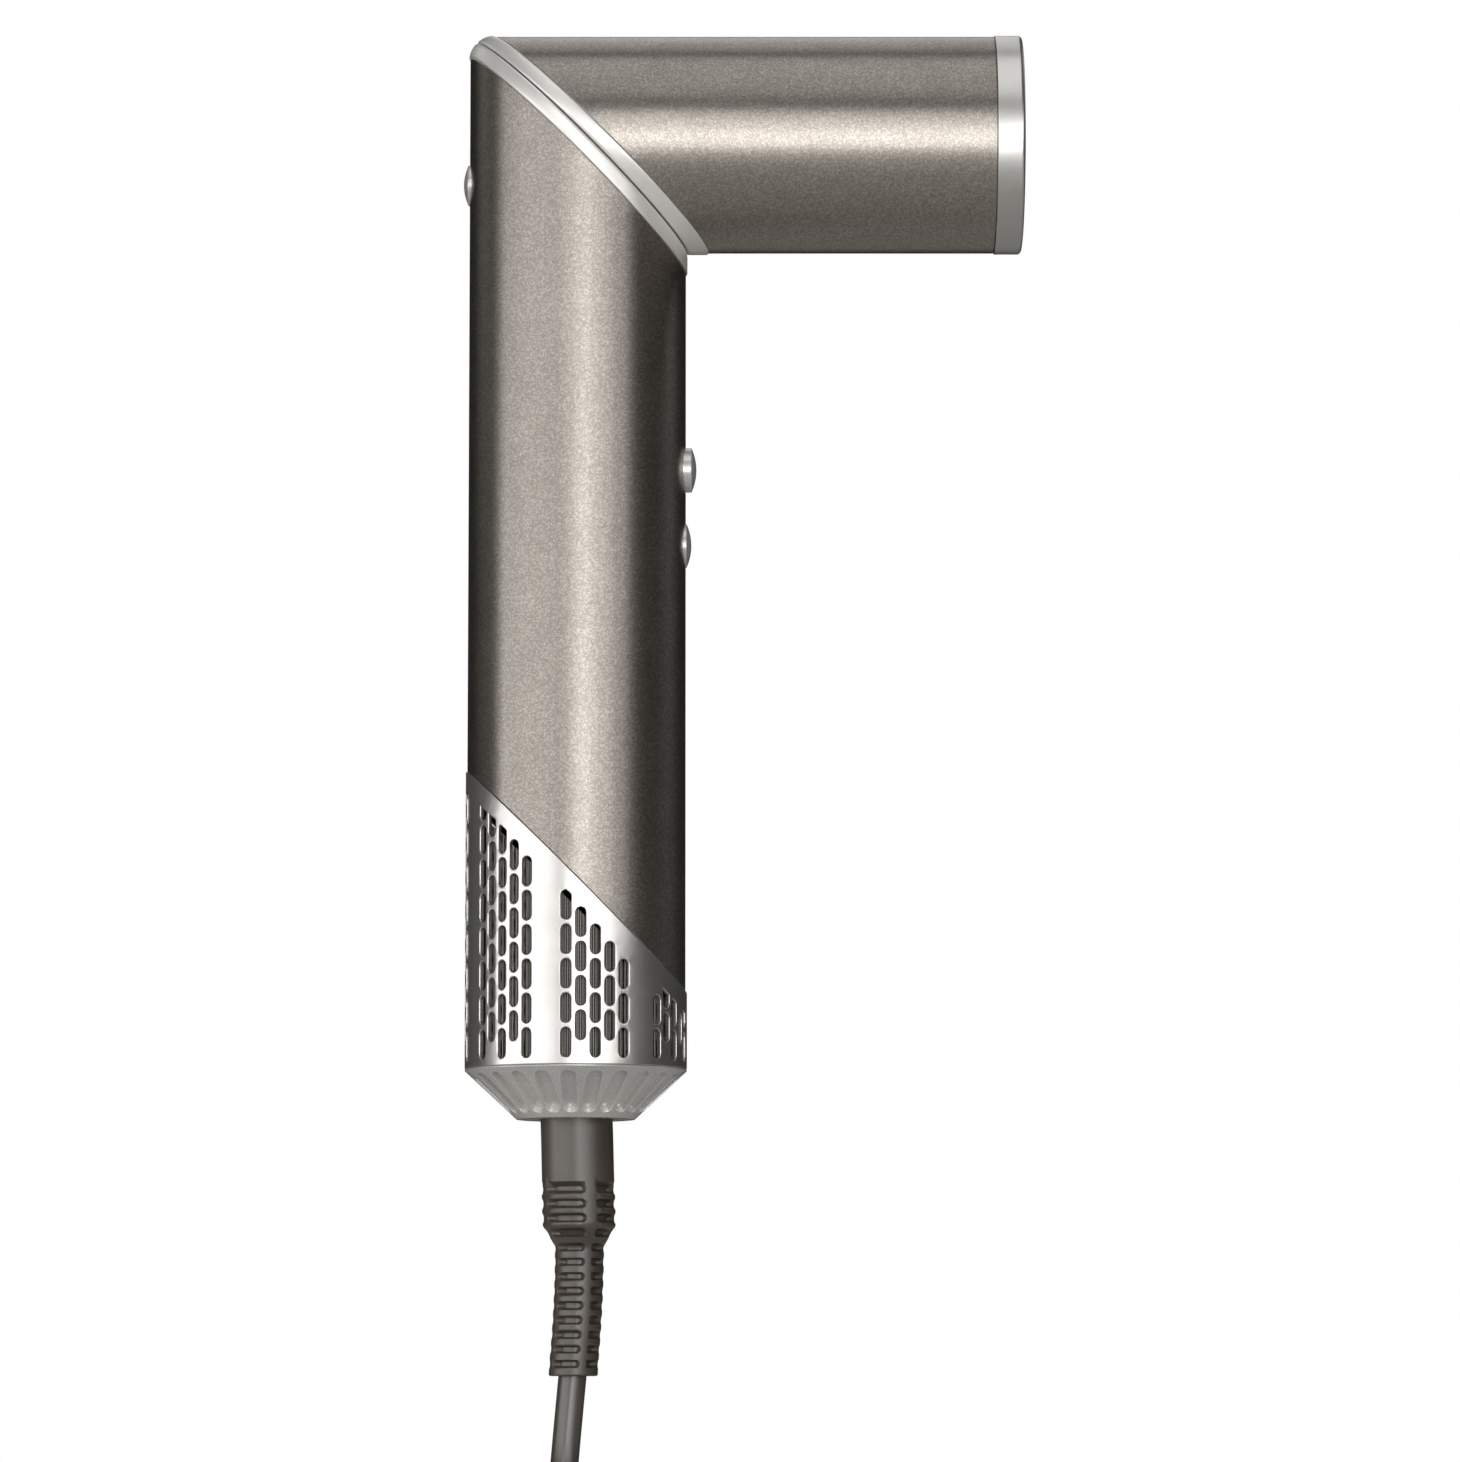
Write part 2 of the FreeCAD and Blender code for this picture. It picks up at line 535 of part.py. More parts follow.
def endCap():
    """Cone with a lip inside the cage, a hole for the strain relief and recesses round its slope."""
    hole = "(sleeveRadius + slipGap)"
    lip = "(cageRadius - cageWall - seatGap)"
    body = newBody("endCap", ("0", "0", fromPivot("rimDrop")))
    revolve(body, "capForm", [
        (hole, "-capHeight"), ("capFootRadius", "-capHeight"), ("cageRadius", "-capHeight * 0.03"),
        ("cageRadius", "-seatGap / 2"), (lip, "-seatGap / 2"), (lip, "capLip"), (lip + " - collarWall", "capLip"),
        (lip + " - collarWall", "-seatGap"), ("capFootRadius", "-capHeight + capWall"),
        (hole, "-capHeight + capWall")])
    # sketch plane on the slope at the front, its Y running up the slope and its normal outwards
    lean = math.degrees(math.atan2(value("capHeight"), value("cageRadius - capFootRadius")))
    recess = polygonSketch(body, "recessOutline", [
        ("-finWidth / 2", "-finLength / 2 + finWidth * 0.3"), ("-finWidth / 4", "-finLength / 2"),
        ("finWidth / 4", "-finLength / 2"), ("finWidth / 2", "-finLength / 2 + finWidth * 0.3"),
        ("finWidth / 2", "finLength / 2 - finWidth * 0.3"), ("finWidth / 4", "finLength / 2"),
        ("-finWidth / 4", "finLength / 2"), ("-finWidth / 2", "finLength / 2 - finWidth * 0.3")],
        "XY_Plane", FreeCAD.Placement(Vector(), Rotation(Vector(1, 0, 0), 180 - lean)))
    recess.setExpression("AttachmentOffset.Base.y", bound("-(cageRadius + capFootRadius) / 2"))
    recess.setExpression("AttachmentOffset.Base.z", bound("-capHeight / 2"))
    doc.recompute()
    whole = body.Shape.Volume
    pocket = body.newObject("PartDesign::Pocket", "recess")
    pocket.Profile = recess
    pocket.setExpression("Length", bound("finDepth"))
    body.Tip = pocket
    doc.recompute()
    assert body.Shape.Volume < whole - 1, "the recess cuts nothing"
    repeated(body, pocket, "finCount")
    piece(body, "end_cap")


def strainRelief():
    """Rubber sleeve through the cap, necking down to the slim part that the cord leaves."""
    foot = "(-capHeight - sleeveLength)"
    end = f"({foot} - neckLength)"
    floor = "(-capHeight + capWall + seatGap)"
    flange = "(sleeveRadius + capWall)"
    piece(turned("relief", [
        ("0", end), ("neckRadius", end), ("neckRadius", foot + " - neckLength * 0.18"),
        ("sleeveRadius", foot), ("sleeveRadius", floor), (flange, floor), (flange, floor + " + capWall"),
        ("0", floor + " + capWall")], ("0", "0", fromPivot("rimDrop"))), "strain_relief")

    clampFoot = "(-capHeight + capWall * 2 + seatGap * 2)"
    depth, height = "cordDiameter * 1.2", "cordDiameter"
    clamp = block("clampBar", "sleeveRadius * 2.6", depth, height,
                  ("0", "0", f"pivotHeight - rimDrop + {clampFoot}"))
    holes = [cylinder("clampHole" + side, "shaftRadius + seatGap", height + " * 2",
                      (sign + "sleeveRadius", "0", f"pivotHeight - rimDrop + {clampFoot} - cordDiameter / 2"))
             for side, sign in (("Left", "-"), ("Right", ""))]
    piece(cut("clamp", clamp, *holes), "cord_clamp")
    screws = []
    for side, sign in (("Left", "-"), ("Right", "")):
        at = (sign + "sleeveRadius", "0", f"pivotHeight - rimDrop + {clampFoot}")
        head = (sign + "sleeveRadius", "0", f"pivotHeight - rimDrop + {clampFoot} + {height} + seatGap")
        screws.append(fused("clampScrew" + side, [
            cylinder("screwShank" + side, "shaftRadius", height + " + seatGap", at),
            cylinder("screwHead" + side, "shaftRadius * 1.8", "shaftRadius", head)]))
    piece(fused("clampScrews", screws), "clamp_screws")


# Heights below the crossing of the axes, from the fan outwards.
FAN_FOOT = "(fanDrop + fanHeight / 2)"
FAN_TOP = "(fanDrop - fanHeight / 2)"
MOTOR_TOP = f"({FAN_FOOT} + canWall)"
MOTOR_FOOT = f"({MOTOR_TOP} + motorLength)"
BELL_TOP = f"({MOTOR_FOOT} - bearingLength - canWall)"
COMMUTATOR_FOOT = f"({BELL_TOP} - canWall)"
COIL_FOOT = f"({COMMUTATOR_FOOT} - commutatorLength - canWall)"
CORE_FOOT = f"({COIL_FOOT} - coilLength)"
CORE_TOP = f"({CORE_FOOT} - rotorLength)"
DUCT_INSIDE = "(fanRadius + tipGap)"
CASING_INSIDE = "(tubeRadius - tubeWall - seatGap)"


def tube(name, outside, inside, foot, top, label=None):
    """Plain ring on the handle's axis between two depths below the crossing."""
    ring = [(inside, f"-({foot})"), (outside, f"-({foot})"), (outside, f"-({top})"), (inside, f"-({top})")]
    body = turned(name, ring, ("0", "0", "pivotHeight"))
    return piece(body, label) if label else body


def radialBars(body, name, start, end, thickness, foot, height, count):
    """Upright bars that stand between two radii, repeated round the axis."""
    sketch = polygonSketch(body, name + "Outline", [
        (start, f"-({thickness}) / 2"), (end, f"-({thickness}) / 2"),
        (end, f"({thickness}) / 2"), (start, f"({thickness}) / 2")], "XY_Plane")
    sketch.setExpression("AttachmentOffset.Base.z", bound(foot))
    pad = body.newObject("PartDesign::Pad", name)
    pad.Profile = sketch
    pad.setExpression("Length", bound(height))
    body.Tip = pad
    return repeated(body, pad, count)


def fanParts():
    cup = "(motorRadius + mountThickness + seatGap)"
    strutFoot = f"({FAN_FOOT} + fanHeight / 2)"
    duct = newBody("fanDuct", ("0", "0", "pivotHeight"))
    revolve(duct, "ductWall", [(DUCT_INSIDE, f"-{strutFoot}"), (CASING_INSIDE, f"-{strutFoot}"),
                               (CASING_INSIDE, f"-{FAN_TOP} + canWall"), (DUCT_INSIDE, f"-{FAN_TOP} + canWall")])
    radialBars(duct, "strut", cup, DUCT_INSIDE + " + tipGap", "strutThickness",
               f"-{strutFoot}", "fanHeight / 2 - canWall", "strutCount")
    revolve(duct, "motorCup", [(cup, f"-{strutFoot}"), (cup + " + canWall", f"-{strutFoot}"),
                               (cup + " + canWall", f"-{MOTOR_TOP}"), (cup, f"-{MOTOR_TOP}")])
    piece(duct, "fan_duct")

    vaneFoot = f"(-{FAN_TOP} + canWall + seatGap)"
    vanes = newBody("guideVanes", ("0", "0", "pivotHeight"))
    revolve(vanes, "vaneHub", [("0", vaneFoot), ("fanHub", vaneFoot), ("fanHub * 0.6", vaneFoot + " + vaneHeight"),
                               ("0", vaneFoot + " + vaneHeight")])
    radialBars(vanes, "vane", "fanHub * 0.5", "fanRadius + tipGap * 2", "vaneThickness",
               vaneFoot, "vaneHeight", "vaneCount")
    revolve(vanes, "vaneRing", [(DUCT_INSIDE, vaneFoot), (CASING_INSIDE, vaneFoot),
                                (CASING_INSIDE, vaneFoot + " + vaneHeight"),
                                (DUCT_INSIDE, vaneFoot + " + vaneHeight")])
    piece(vanes, "guide_vanes")

    fan = newBody("impeller", ("0", "0", "pivotHeight"))
    revolve(fan, "fanHubForm", [("shaftRadius + seatGap", f"-{FAN_FOOT}"), ("fanHub", f"-{FAN_FOOT}"),
                                ("fanHub", f"-{FAN_TOP} - canWall"), ("fanHub * 0.7", f"-{FAN_TOP}"),
                                ("shaftRadius + seatGap", f"-{FAN_TOP}")])
    # blade outline in a plane square to a radius: a thin sloping strip
    rise = "(fanHeight / 2 - canWall)"
    run = f"({rise} / tan(bladePitch))"
    thick = "(bladeThickness / sin(bladePitch) / 2)"
    blade = polygonSketch(fan, "bladeOutline", [
        (f"-{run} - {thick}", f"-fanDrop - {rise}"), (f"-{run} + {thick}", f"-fanDrop - {rise}"),
        (f"{run} + {thick}", f"-fanDrop + {rise}"), (f"{run} - {thick}", f"-fanDrop + {rise}")], "YZ_Plane")
    blade.setExpression("AttachmentOffset.Base.z", bound("fanHub * 0.7"))
    pad = fan.newObject("PartDesign::Pad", "blade")
    pad.Profile = blade
    pad.setExpression("Length", bound(f"sqrt(fanRadius ^ 2 - ({run} + {thick}) ^ 2) - fanHub * 0.7"))
    fan.Tip = pad
    repeated(fan, pad, "fanBlades")
    piece(fan, "impeller")


def motorParts():
    seat = "(bearingRadius + seatGap)"
    inside = "(motorRadius - canWall)"
    piece(turned("motorCan", [
        (seat, f"-{MOTOR_TOP}"), (seat, f"-{MOTOR_TOP} - bearingLength"),
        (inside, f"-{MOTOR_TOP} - bearingLength"), (inside, f"-{MOTOR_FOOT}"),
        ("motorRadius", f"-{MOTOR_FOOT}"), ("motorRadius", f"-{MOTOR_TOP}")],
        ("0", "0", "pivotHeight")), "motor_can")
    tube("endBell", inside + " - seatGap", seat, MOTOR_FOOT, BELL_TOP, "motor_end_bell")
    tube("rubberMount", "(motorRadius + mountThickness)", "(motorRadius + seatGap / 2)",
         f"({FAN_FOOT} + fanHeight / 2)", MOTOR_TOP, "motor_rubber_mount")
    bearings = [tube("bearing" + name, "bearingRadius", "(shaftRadius + runningGap)", foot, f"({foot} - bearingLength)")
                for name, foot in (("Low", MOTOR_FOOT), ("High", f"({MOTOR_TOP} + bearingLength)"))]
    piece(fused("bearings", bearings), "motor_bearings")

    outside = inside + " - seatGap"
    ring = tube("magnetRing", outside, f"({outside} - magnetThickness)", CORE_FOOT, CORE_TOP)
    split = block("magnetSplit", "motorRadius * 3", "magnetThickness * 2", "rotorLength * 2",
                  ("0", "0", fromPivot(f"{CORE_FOOT} + rotorLength / 2")))
    piece(cut("magnets", ring, split), "motor_magnets")

    bore = "(shaftRadius + seatGap)"
    tube("rotorIron", "rotorRadius", bore, CORE_FOOT, CORE_TOP, "rotor_core")
    turns = [tube("coil" + name, "coilRadius", bore, foot, f"({foot} - coilLength)")
             for name, foot in (("Low", COIL_FOOT + " + seatGap"), ("High", CORE_TOP + " - seatGap"))]
    piece(fused("coils", turns), "rotor_winding")
    tube("commutatorRing", "commutatorRadius", bore, COMMUTATOR_FOOT,
         f"({COMMUTATOR_FOOT} - commutatorLength)", "commutator")
    piece(cylinder("shaft", "shaftRadius", f"{MOTOR_FOOT} - {FAN_TOP} + canWall",
                   ("0", "0", fromPivot(MOTOR_FOOT))), "motor_shaft")
    brushes = []
    for side, sign in (("Left", "-"), ("Right", "")):
        middle = f"{sign}(commutatorRadius + slipGap + bearingRadius / 2)"
        brushes.append(block("brush" + side, "bearingRadius", "shaftRadius", "bearingLength",
                             (middle, "0", fromPivot(f"{COMMUTATOR_FOOT} - canWall"))))
    piece(fused("brushes", brushes), "motor_brushes")


def controls():
    """Circuit board behind the two front buttons, with a push switch under each."""
    switchTop = "(stemFoot - buttonStroke - slipGap * 2)"
    face = f"({switchTop} - switchHeight)"
    middle = "(buttonDrop + modeDrop) / 2 + circuitLength / 2"
    switches = []
    for name, drop in (("Power", "buttonDrop"), ("Mode", "modeDrop")):
        switches.append(block("switch" + name, "switchHeight", "switchSide", "switchSide",
                              (f"{switchTop} - switchHeight / 2", "0", fromPivot(f"{drop} + switchSide / 2"))))
    piece(fused("switches", switches), "push_switches")
    piece(block("circuit", "circuitThickness", "circuitWidth", "circuitLength",
                (f"{face} - circuitThickness / 2", "0", fromPivot(middle))), "circuit_board")
    plate = block("carrierPlate", "carrierThickness", "tubeRadius * 2", "circuitLength",
                  (f"{face} - circuitThickness - seatGap - carrierThickness / 2", "0", fromPivot(middle)))
    fit = cylinder("carrierFit", CASING_INSIDE, "circuitLength * 2",
                   ("0", "0", fromPivot(middle + " + circuitLength / 2")))
    piece(common("carrier", plate, fit), "board_carrier")


def alongHead(name, outside, inside, start, end, label):
    ring = [(inside, start), (outside, start), (outside, end), (inside, end)]
    return piece(turned(name, ring, ("0", "0", "pivotHeight"), ALONG_X), label)


def headParts():
    ringStart = "(headLength - outletRingWidth)"
    outer = cylinder("headOuter", "tubeRadius", f"{ringStart} + tubeRadius * 2",
                     ("-tubeRadius * 2", "0", "pivotHeight"), ALONG_X)
    inner = cylinder("headInner", "tubeRadius - tubeWall", "headLength * 2",
                     ("-headLength / 2", "0", "pivotHeight"), ALONG_X)
    piece(cut("headCasing", outer, inner, belowMitre("headCut", RING_END)), "head_casing")

    collarStart = f"({ringStart} - outletCollar)"
    outlet = newBody("outletRing", ("0", "0", "pivotHeight"), ALONG_X)
    ring = revolve(outlet, "outletForm", [
        ("outletBore", collarStart), (CASING_INSIDE, collarStart), (CASING_INSIDE, ringStart + " + seatGap"),
        ("tubeRadius + outletProud", ringStart + " + seatGap"),
        ("tubeRadius + outletProud", "headLength"), ("outletBore", "headLength")])
    rim, edgeRadius = value("headLength"), value("tubeRadius + outletProud")
    roundEdges(outlet, ring, "outletProud * 4", lambda edge: (
        edge.Curve.TypeId == "Part::GeomCircle" and abs(edge.Curve.Radius - edgeRadius) < 1e-4
        and abs(edge.BoundBox.ZMax - rim) < 1e-3))
    piece(outlet, "outlet_ring")

    grille = newBody("grille", ("0", "0", "pivotHeight"), ALONG_X)
    grilleEnd = "grilleStart + grilleThickness"
    revolve(grille, "grilleBoss", [("0", "grilleStart"), ("grilleBar * 2", "grilleStart"),
                                   ("grilleBar * 2", grilleEnd), ("0", grilleEnd)])
    radialBars(grille, "spoke", "grilleBar", CASING_INSIDE + " - grilleBar / 2", "grilleBar",
               "grilleStart", "grilleThickness", "grilleSpokes")
    for number in range(1, int(value("grilleRings")) + 2):
        outside = f"{CASING_INSIDE} * {number} / (grilleRings + 1)"
        revolve(grille, f"grilleRing{number}", [
            (outside + " - grilleBar", "grilleStart"), (outside, "grilleStart"),
            (outside, grilleEnd), (outside + " - grilleBar", grilleEnd)])
    piece(grille, "outlet_grille")

    heaterEnd = "heaterStart + heaterLength"
    shield = "(tubeRadius - tubeWall - micaWall)"
    alongHead("heatShield", shield, f"({shield} - micaWall)", "heaterStart", heaterEnd, "heat_shield")
    reach = f"(({shield} - micaWall - seatGap) * 2)"
    crossing = [block("boardFlat", "heaterLength", reach + " * 0.999", "boardThickness",
                      ("heaterStart + heaterLength / 2", "0", "pivotHeight - boardThickness / 2")),
                block("boardUpright", "heaterLength", "boardThickness", reach + " * 0.999",
                      ("heaterStart + heaterLength / 2", "0", f"pivotHeight - {reach} * 0.4995"))]
    piece(fused("heaterCross", crossing), "heater_boards")
    turns = []
    for number in range(1, int(value("heaterLength / windingPitch"))):
        turn = doc.addObject("Part::Torus", f"windingTurn{number}")
        bind(turn, Radius1="windingRadius", Radius2="wireRadius")
        turns.append(place(turn, (f"heaterStart + windingPitch * {number}", "0", "pivotHeight"), ALONG_X))
    piece(fused("winding", turns), "heater_winding")
    piece(block("cutout", "switchSide * 1.5", "switchHeight", "switchSide",
                ("heaterStart + switchSide * 2", "boardThickness / 2 + seatGap + switchHeight / 2",
                 "pivotHeight + boardThickness")), "thermal_cutout")


# The cord's two free stretches, as x, y and depth below the strain relief's end.
CORD_ROUTE = [(-0.35, 0.0, -1.5), (-1.75, 0.0, 13.6), (-2.4, -2.2, 23.5), (-2.8, -5.2, 34.0),
              (-2.9, -6.0, 45.0)]
PLUG_ROUTE = [(-16.0, -6.0, 131.4), (-10.9, -6.1, 140.4), (-8.7, -6.0, 152.0)]
PLUG_PLACE = (-8.7, -6.0)


def routeWire(points):
    """Straight runs joined by tangent arcs, each as large as its two runs allow."""
    edges = []
    start = points[0]
    for before, corner, after in zip(points, points[1:], points[2:]):
        back, ahead = (before - corner).normalize(), (after - corner).normalize()
        half = (math.pi - back.getAngle(ahead)) / 2
        trim = 0.45 * min(before.distanceToPoint(corner), after.distanceToPoint(corner))
        radius = trim / math.tan(half)
        print(f"cord arc radius {radius:.0f} mm")
        centre = corner + (back + ahead).normalize() * (radius / math.cos(half))
        first, last = corner + back * trim, corner + ahead * trim
        middle = centre + (corner - centre).normalize() * radius
        edges += [Part.LineSegment(start, first).toShape(), Part.Arc(first, middle, last).toShape()]
        start = last
    edges.append(Part.LineSegment(start, points[-1]).toShape())
    return Part.Wire(edges)


def cordTube(name, route, label):
    """Round tube along a route, its volume compared with section times length."""
    height, radius = value("pivotHeight - reliefEnd"), value("cordDiameter") / 2
    path = routeWire([Vector(x, y, height - drop) for x, y, drop in route])
    section = Part.Wire([Part.Circle(path.Edges[0].Vertexes[0].Point,
                                     path.Edges[0].tangentAt(path.Edges[0].FirstParameter), radius).toShape()])
    solid = path.makePipeShell([section], True, False)
    expected = math.pi * radius ** 2 * path.Length
    assert abs(solid.Volume - expected) < expected * 0.01, "the cord's tube has the wrong volume"
    item = doc.addObject("Part::Feature", name)
    item.Shape = solid
    piece(item, label)


def cordAndPlug():
    cordTube("cordRun", CORD_ROUTE, "mains_cord")
    cordTube("cordEnd", PLUG_ROUTE, "cord_end")

    outside = "(hankBend + cordDiameter / 2)"
    centre = f"(hankTop + {outside} + hankStraight)"
    thickness = "hankBack + hankFront"
    bends = [cylinder("hankBend" + name, outside, thickness,
                      ("0", "-hankFront", fromPivot(f"{centre} {sign} hankStraight")), ALONG_Y)
             for name, sign in (("High", "-"), ("Low", "+"))]
    waist = block("hankWaist", "waistHalf * 2", thickness, "hankStraight * 2",
                  ("0", "(hankBack - hankFront) / 2", fromPivot(f"{centre} + hankStraight")))
    piece(fused("hank", bends + [waist]), "cord_hank")

    tieWidth = "(waistHalf * 2 + seatGap * 2)"
    tieDepth = f"({thickness} + seatGap * 2)"
    foot = fromPivot(f"{centre} + tieHeight / 2")
    band = block("tieBand", tieWidth + " + tieThickness * 2", tieDepth + " + tieThickness * 2", "tieHeight",
                 ("0", "(hankBack - hankFront) / 2", foot))
    hole = block("tieHole", tieWidth, tieDepth, "tieHeight * 3",
                 ("0", "(hankBack - hankFront) / 2", foot + " - tieHeight"))
    piece(cut("tie", band, hole), "cord_tie")

    across, along = (str(number) for number in PLUG_PLACE)
    plugFoot = "(plugDrop + plugLength)"
    box = block("plugBlock", "plugWidth", "plugDepth", "plugLength", (across, along, fromPivot(plugFoot)))
    doc.recompute()
    rounded = doc.addObject("Part::Fillet", "plugRounded")
    rounded.Base = box
    rounded.Edges = [(number, value("plugCorner"), value("plugCorner"))
                     for number, edge in enumerate(box.Shape.Edges, start=1)
                     if edge.BoundBox.ZLength > value("plugLength") * 0.9]
    tail = doc.addObject("Part::Cone", "plugTailCone")
    bind(tail, Radius1="cordDiameter", Radius2="cordDiameter * 0.65", Height="plugTail")
    place(tail, (across, along, fromPivot("plugDrop")))
    piece(fused("plug", [rounded, tail]), "plug_body")
    blades = [block("plugBlade" + name, "bladeGauge", "bladeWidth", "bladeLength",
                    (f"{across} {sign} bladeSpacing / 2", along, fromPivot(f"{plugFoot} + bladeLength")))
              for name, sign in (("Left", "-"), ("Right", "+"))]
    piece(fused("plugBlades", blades), "plug_blades")


handleCasing()
mitreRings()
swivel()
latchBolt()
button("power", "buttonDrop", ALONG_X, "stemFoot")
button("mode", "modeDrop", ALONG_X, "stemFoot")
button("lock", "lockDrop", ALONG_MINUS_X, "stemFoot")
inletCage()
joiningCollar()
endCap()
strainRelief()
fanParts()
motorParts()
controls()
headParts()
cordAndPlug()
doc.recompute()

for item in doc.Objects:
    if {"Invalid", "Error"} & set(item.State):
        raise RuntimeError(f"{item.Name} failed: {item.State}")
for item in pieces:
    if item.Shape.isNull() or not item.Shape.isValid() or not item.Shape.Solids:
        raise RuntimeError(f"{item.Label} has no valid solid")

os.makedirs("parts", exist_ok=True)
for item in pieces:
    item.Shape.exportStep(f"parts/{item.Label}.step")
print(len(pieces), "pieces written")
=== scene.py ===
import json
import math

import bmesh
import bpy
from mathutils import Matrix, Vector
from mathutils.geometry import delaunay_2d_cdt


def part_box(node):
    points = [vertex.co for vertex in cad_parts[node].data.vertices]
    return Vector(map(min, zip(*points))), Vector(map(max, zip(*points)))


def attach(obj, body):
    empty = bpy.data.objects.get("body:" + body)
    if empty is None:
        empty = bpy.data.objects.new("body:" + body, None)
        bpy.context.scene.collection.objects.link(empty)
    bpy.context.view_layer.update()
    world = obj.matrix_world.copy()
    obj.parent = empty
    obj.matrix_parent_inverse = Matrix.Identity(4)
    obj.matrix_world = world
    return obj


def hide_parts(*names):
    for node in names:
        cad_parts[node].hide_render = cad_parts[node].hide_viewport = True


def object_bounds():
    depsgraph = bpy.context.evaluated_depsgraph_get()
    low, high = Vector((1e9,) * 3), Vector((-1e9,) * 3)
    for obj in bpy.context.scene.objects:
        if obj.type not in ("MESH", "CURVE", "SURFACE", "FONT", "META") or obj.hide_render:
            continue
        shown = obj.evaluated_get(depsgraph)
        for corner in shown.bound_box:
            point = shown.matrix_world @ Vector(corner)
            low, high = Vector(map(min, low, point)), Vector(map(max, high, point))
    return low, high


# Slim folding hair dryer, held by its grip. +Z runs up the handle and +X is the way the air leaves.
# Sizes in the dictionaries are millimetres and degrees, places come from the frame.

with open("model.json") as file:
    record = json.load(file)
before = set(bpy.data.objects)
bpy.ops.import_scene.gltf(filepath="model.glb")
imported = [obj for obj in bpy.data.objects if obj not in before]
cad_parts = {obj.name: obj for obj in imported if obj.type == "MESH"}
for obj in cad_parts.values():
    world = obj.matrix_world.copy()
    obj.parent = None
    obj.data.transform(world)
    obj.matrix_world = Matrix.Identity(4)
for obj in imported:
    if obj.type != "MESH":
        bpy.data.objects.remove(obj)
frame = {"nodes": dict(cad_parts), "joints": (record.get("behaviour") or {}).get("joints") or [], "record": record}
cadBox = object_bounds()
print("frame loaded")

mm = 0.001
front, right, up = Vector((0, -1, 0)), Vector((1, 0, 0)), Vector((0, 0, 1))
twist = next(joint for joint in frame["joints"] if joint["name"] == "head_twist")
pivot = Vector(twist["pos_m"])
twistAxis = Vector(twist["axis"])
handleBox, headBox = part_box("handle_casing"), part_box("head_casing")
cageBox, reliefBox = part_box("inlet_cage"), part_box("strain_relief")
tubeRadius = handleBox[1].y
cageRadius = cageBox[1].y
slotOfNode = {part["node"]: part["material_slot"] for part in frame["record"]["subparts"]}

cameraSet = {"across": 30.25, "back": 1236.34, "below": 248.53, "lens": 155.42, "tiltUp": 6.0586}
cameraData = bpy.data.cameras.new("studioCamera")
camera = bpy.data.objects.new("studioCamera", cameraData)
bpy.context.scene.collection.objects.link(camera)
bpy.context.scene.camera = camera
cameraData.sensor_fit = "HORIZONTAL"
cameraData.sensor_width = 36.0
cameraData.lens = cameraSet["lens"]
cameraData.dof.use_dof = False
camera.location = pivot + Vector((cameraSet["across"], -cameraSet["back"], -cameraSet["below"])) * mm
camera.rotation_euler = (math.radians(90 + cameraSet["tiltUp"]), 0.0, 0.0)
print("camera placed")

# The mains cord hangs from the relief and is folded into a hank: two layers of long loops with round ends above
# and below, which the tie pinches at the waist. Feed points are (across, depth, drop below the relief's end).
cordSet = {"diameter": 5.5, "length": 1.99, "waistCentre": 24.86, "waistRadius": 21.96, "endCentre": 30.0,
           "endRadius": 17.0, "layer": 5.6, "turn": 50.35, "foremost": -6.0, "foldedBack": -4.5, "backTurn": 110.0,
           "innerTurns": 4, "outerTurns": 3, "feedAcross": -2.9, "feedInto": 9.0,
           "feed": [(-0.35, 0.0, -1.5), (-1.75, 0.0, 13.6), (-2.3, -2.2, 21.5), (-2.8, -6.1, 31.0),
                    (-2.9, -6.1, 42.0)],
           "plugAcross": -8.7, "plugBend": 17.0, "plugBendDown": -60.3, "plugFeed": (-70.0, -76.0)}
reliefEnd = Vector((0.0, 0.0, reliefBox[0].z))
hankMid = Vector((0.0, 0.0, sum(corner.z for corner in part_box("cord_tie")) / 2))


def arcRun(middle, radius, start, stop, steps, near, far):
    # controls of a round arc in the hank's own plane, while its depth goes from near to far
    step = (stop - start) / steps
    reach = radius / math.cos(math.radians(step / 2))
    run = []
    for i in range(steps):
        angle = math.radians(start + step * (i + 0.5))
        depth = near + (far - near) * (i + 0.5) / steps
        run.append((middle[0] + reach * math.cos(angle), depth, middle[1] + reach * math.sin(angle)))
    return run


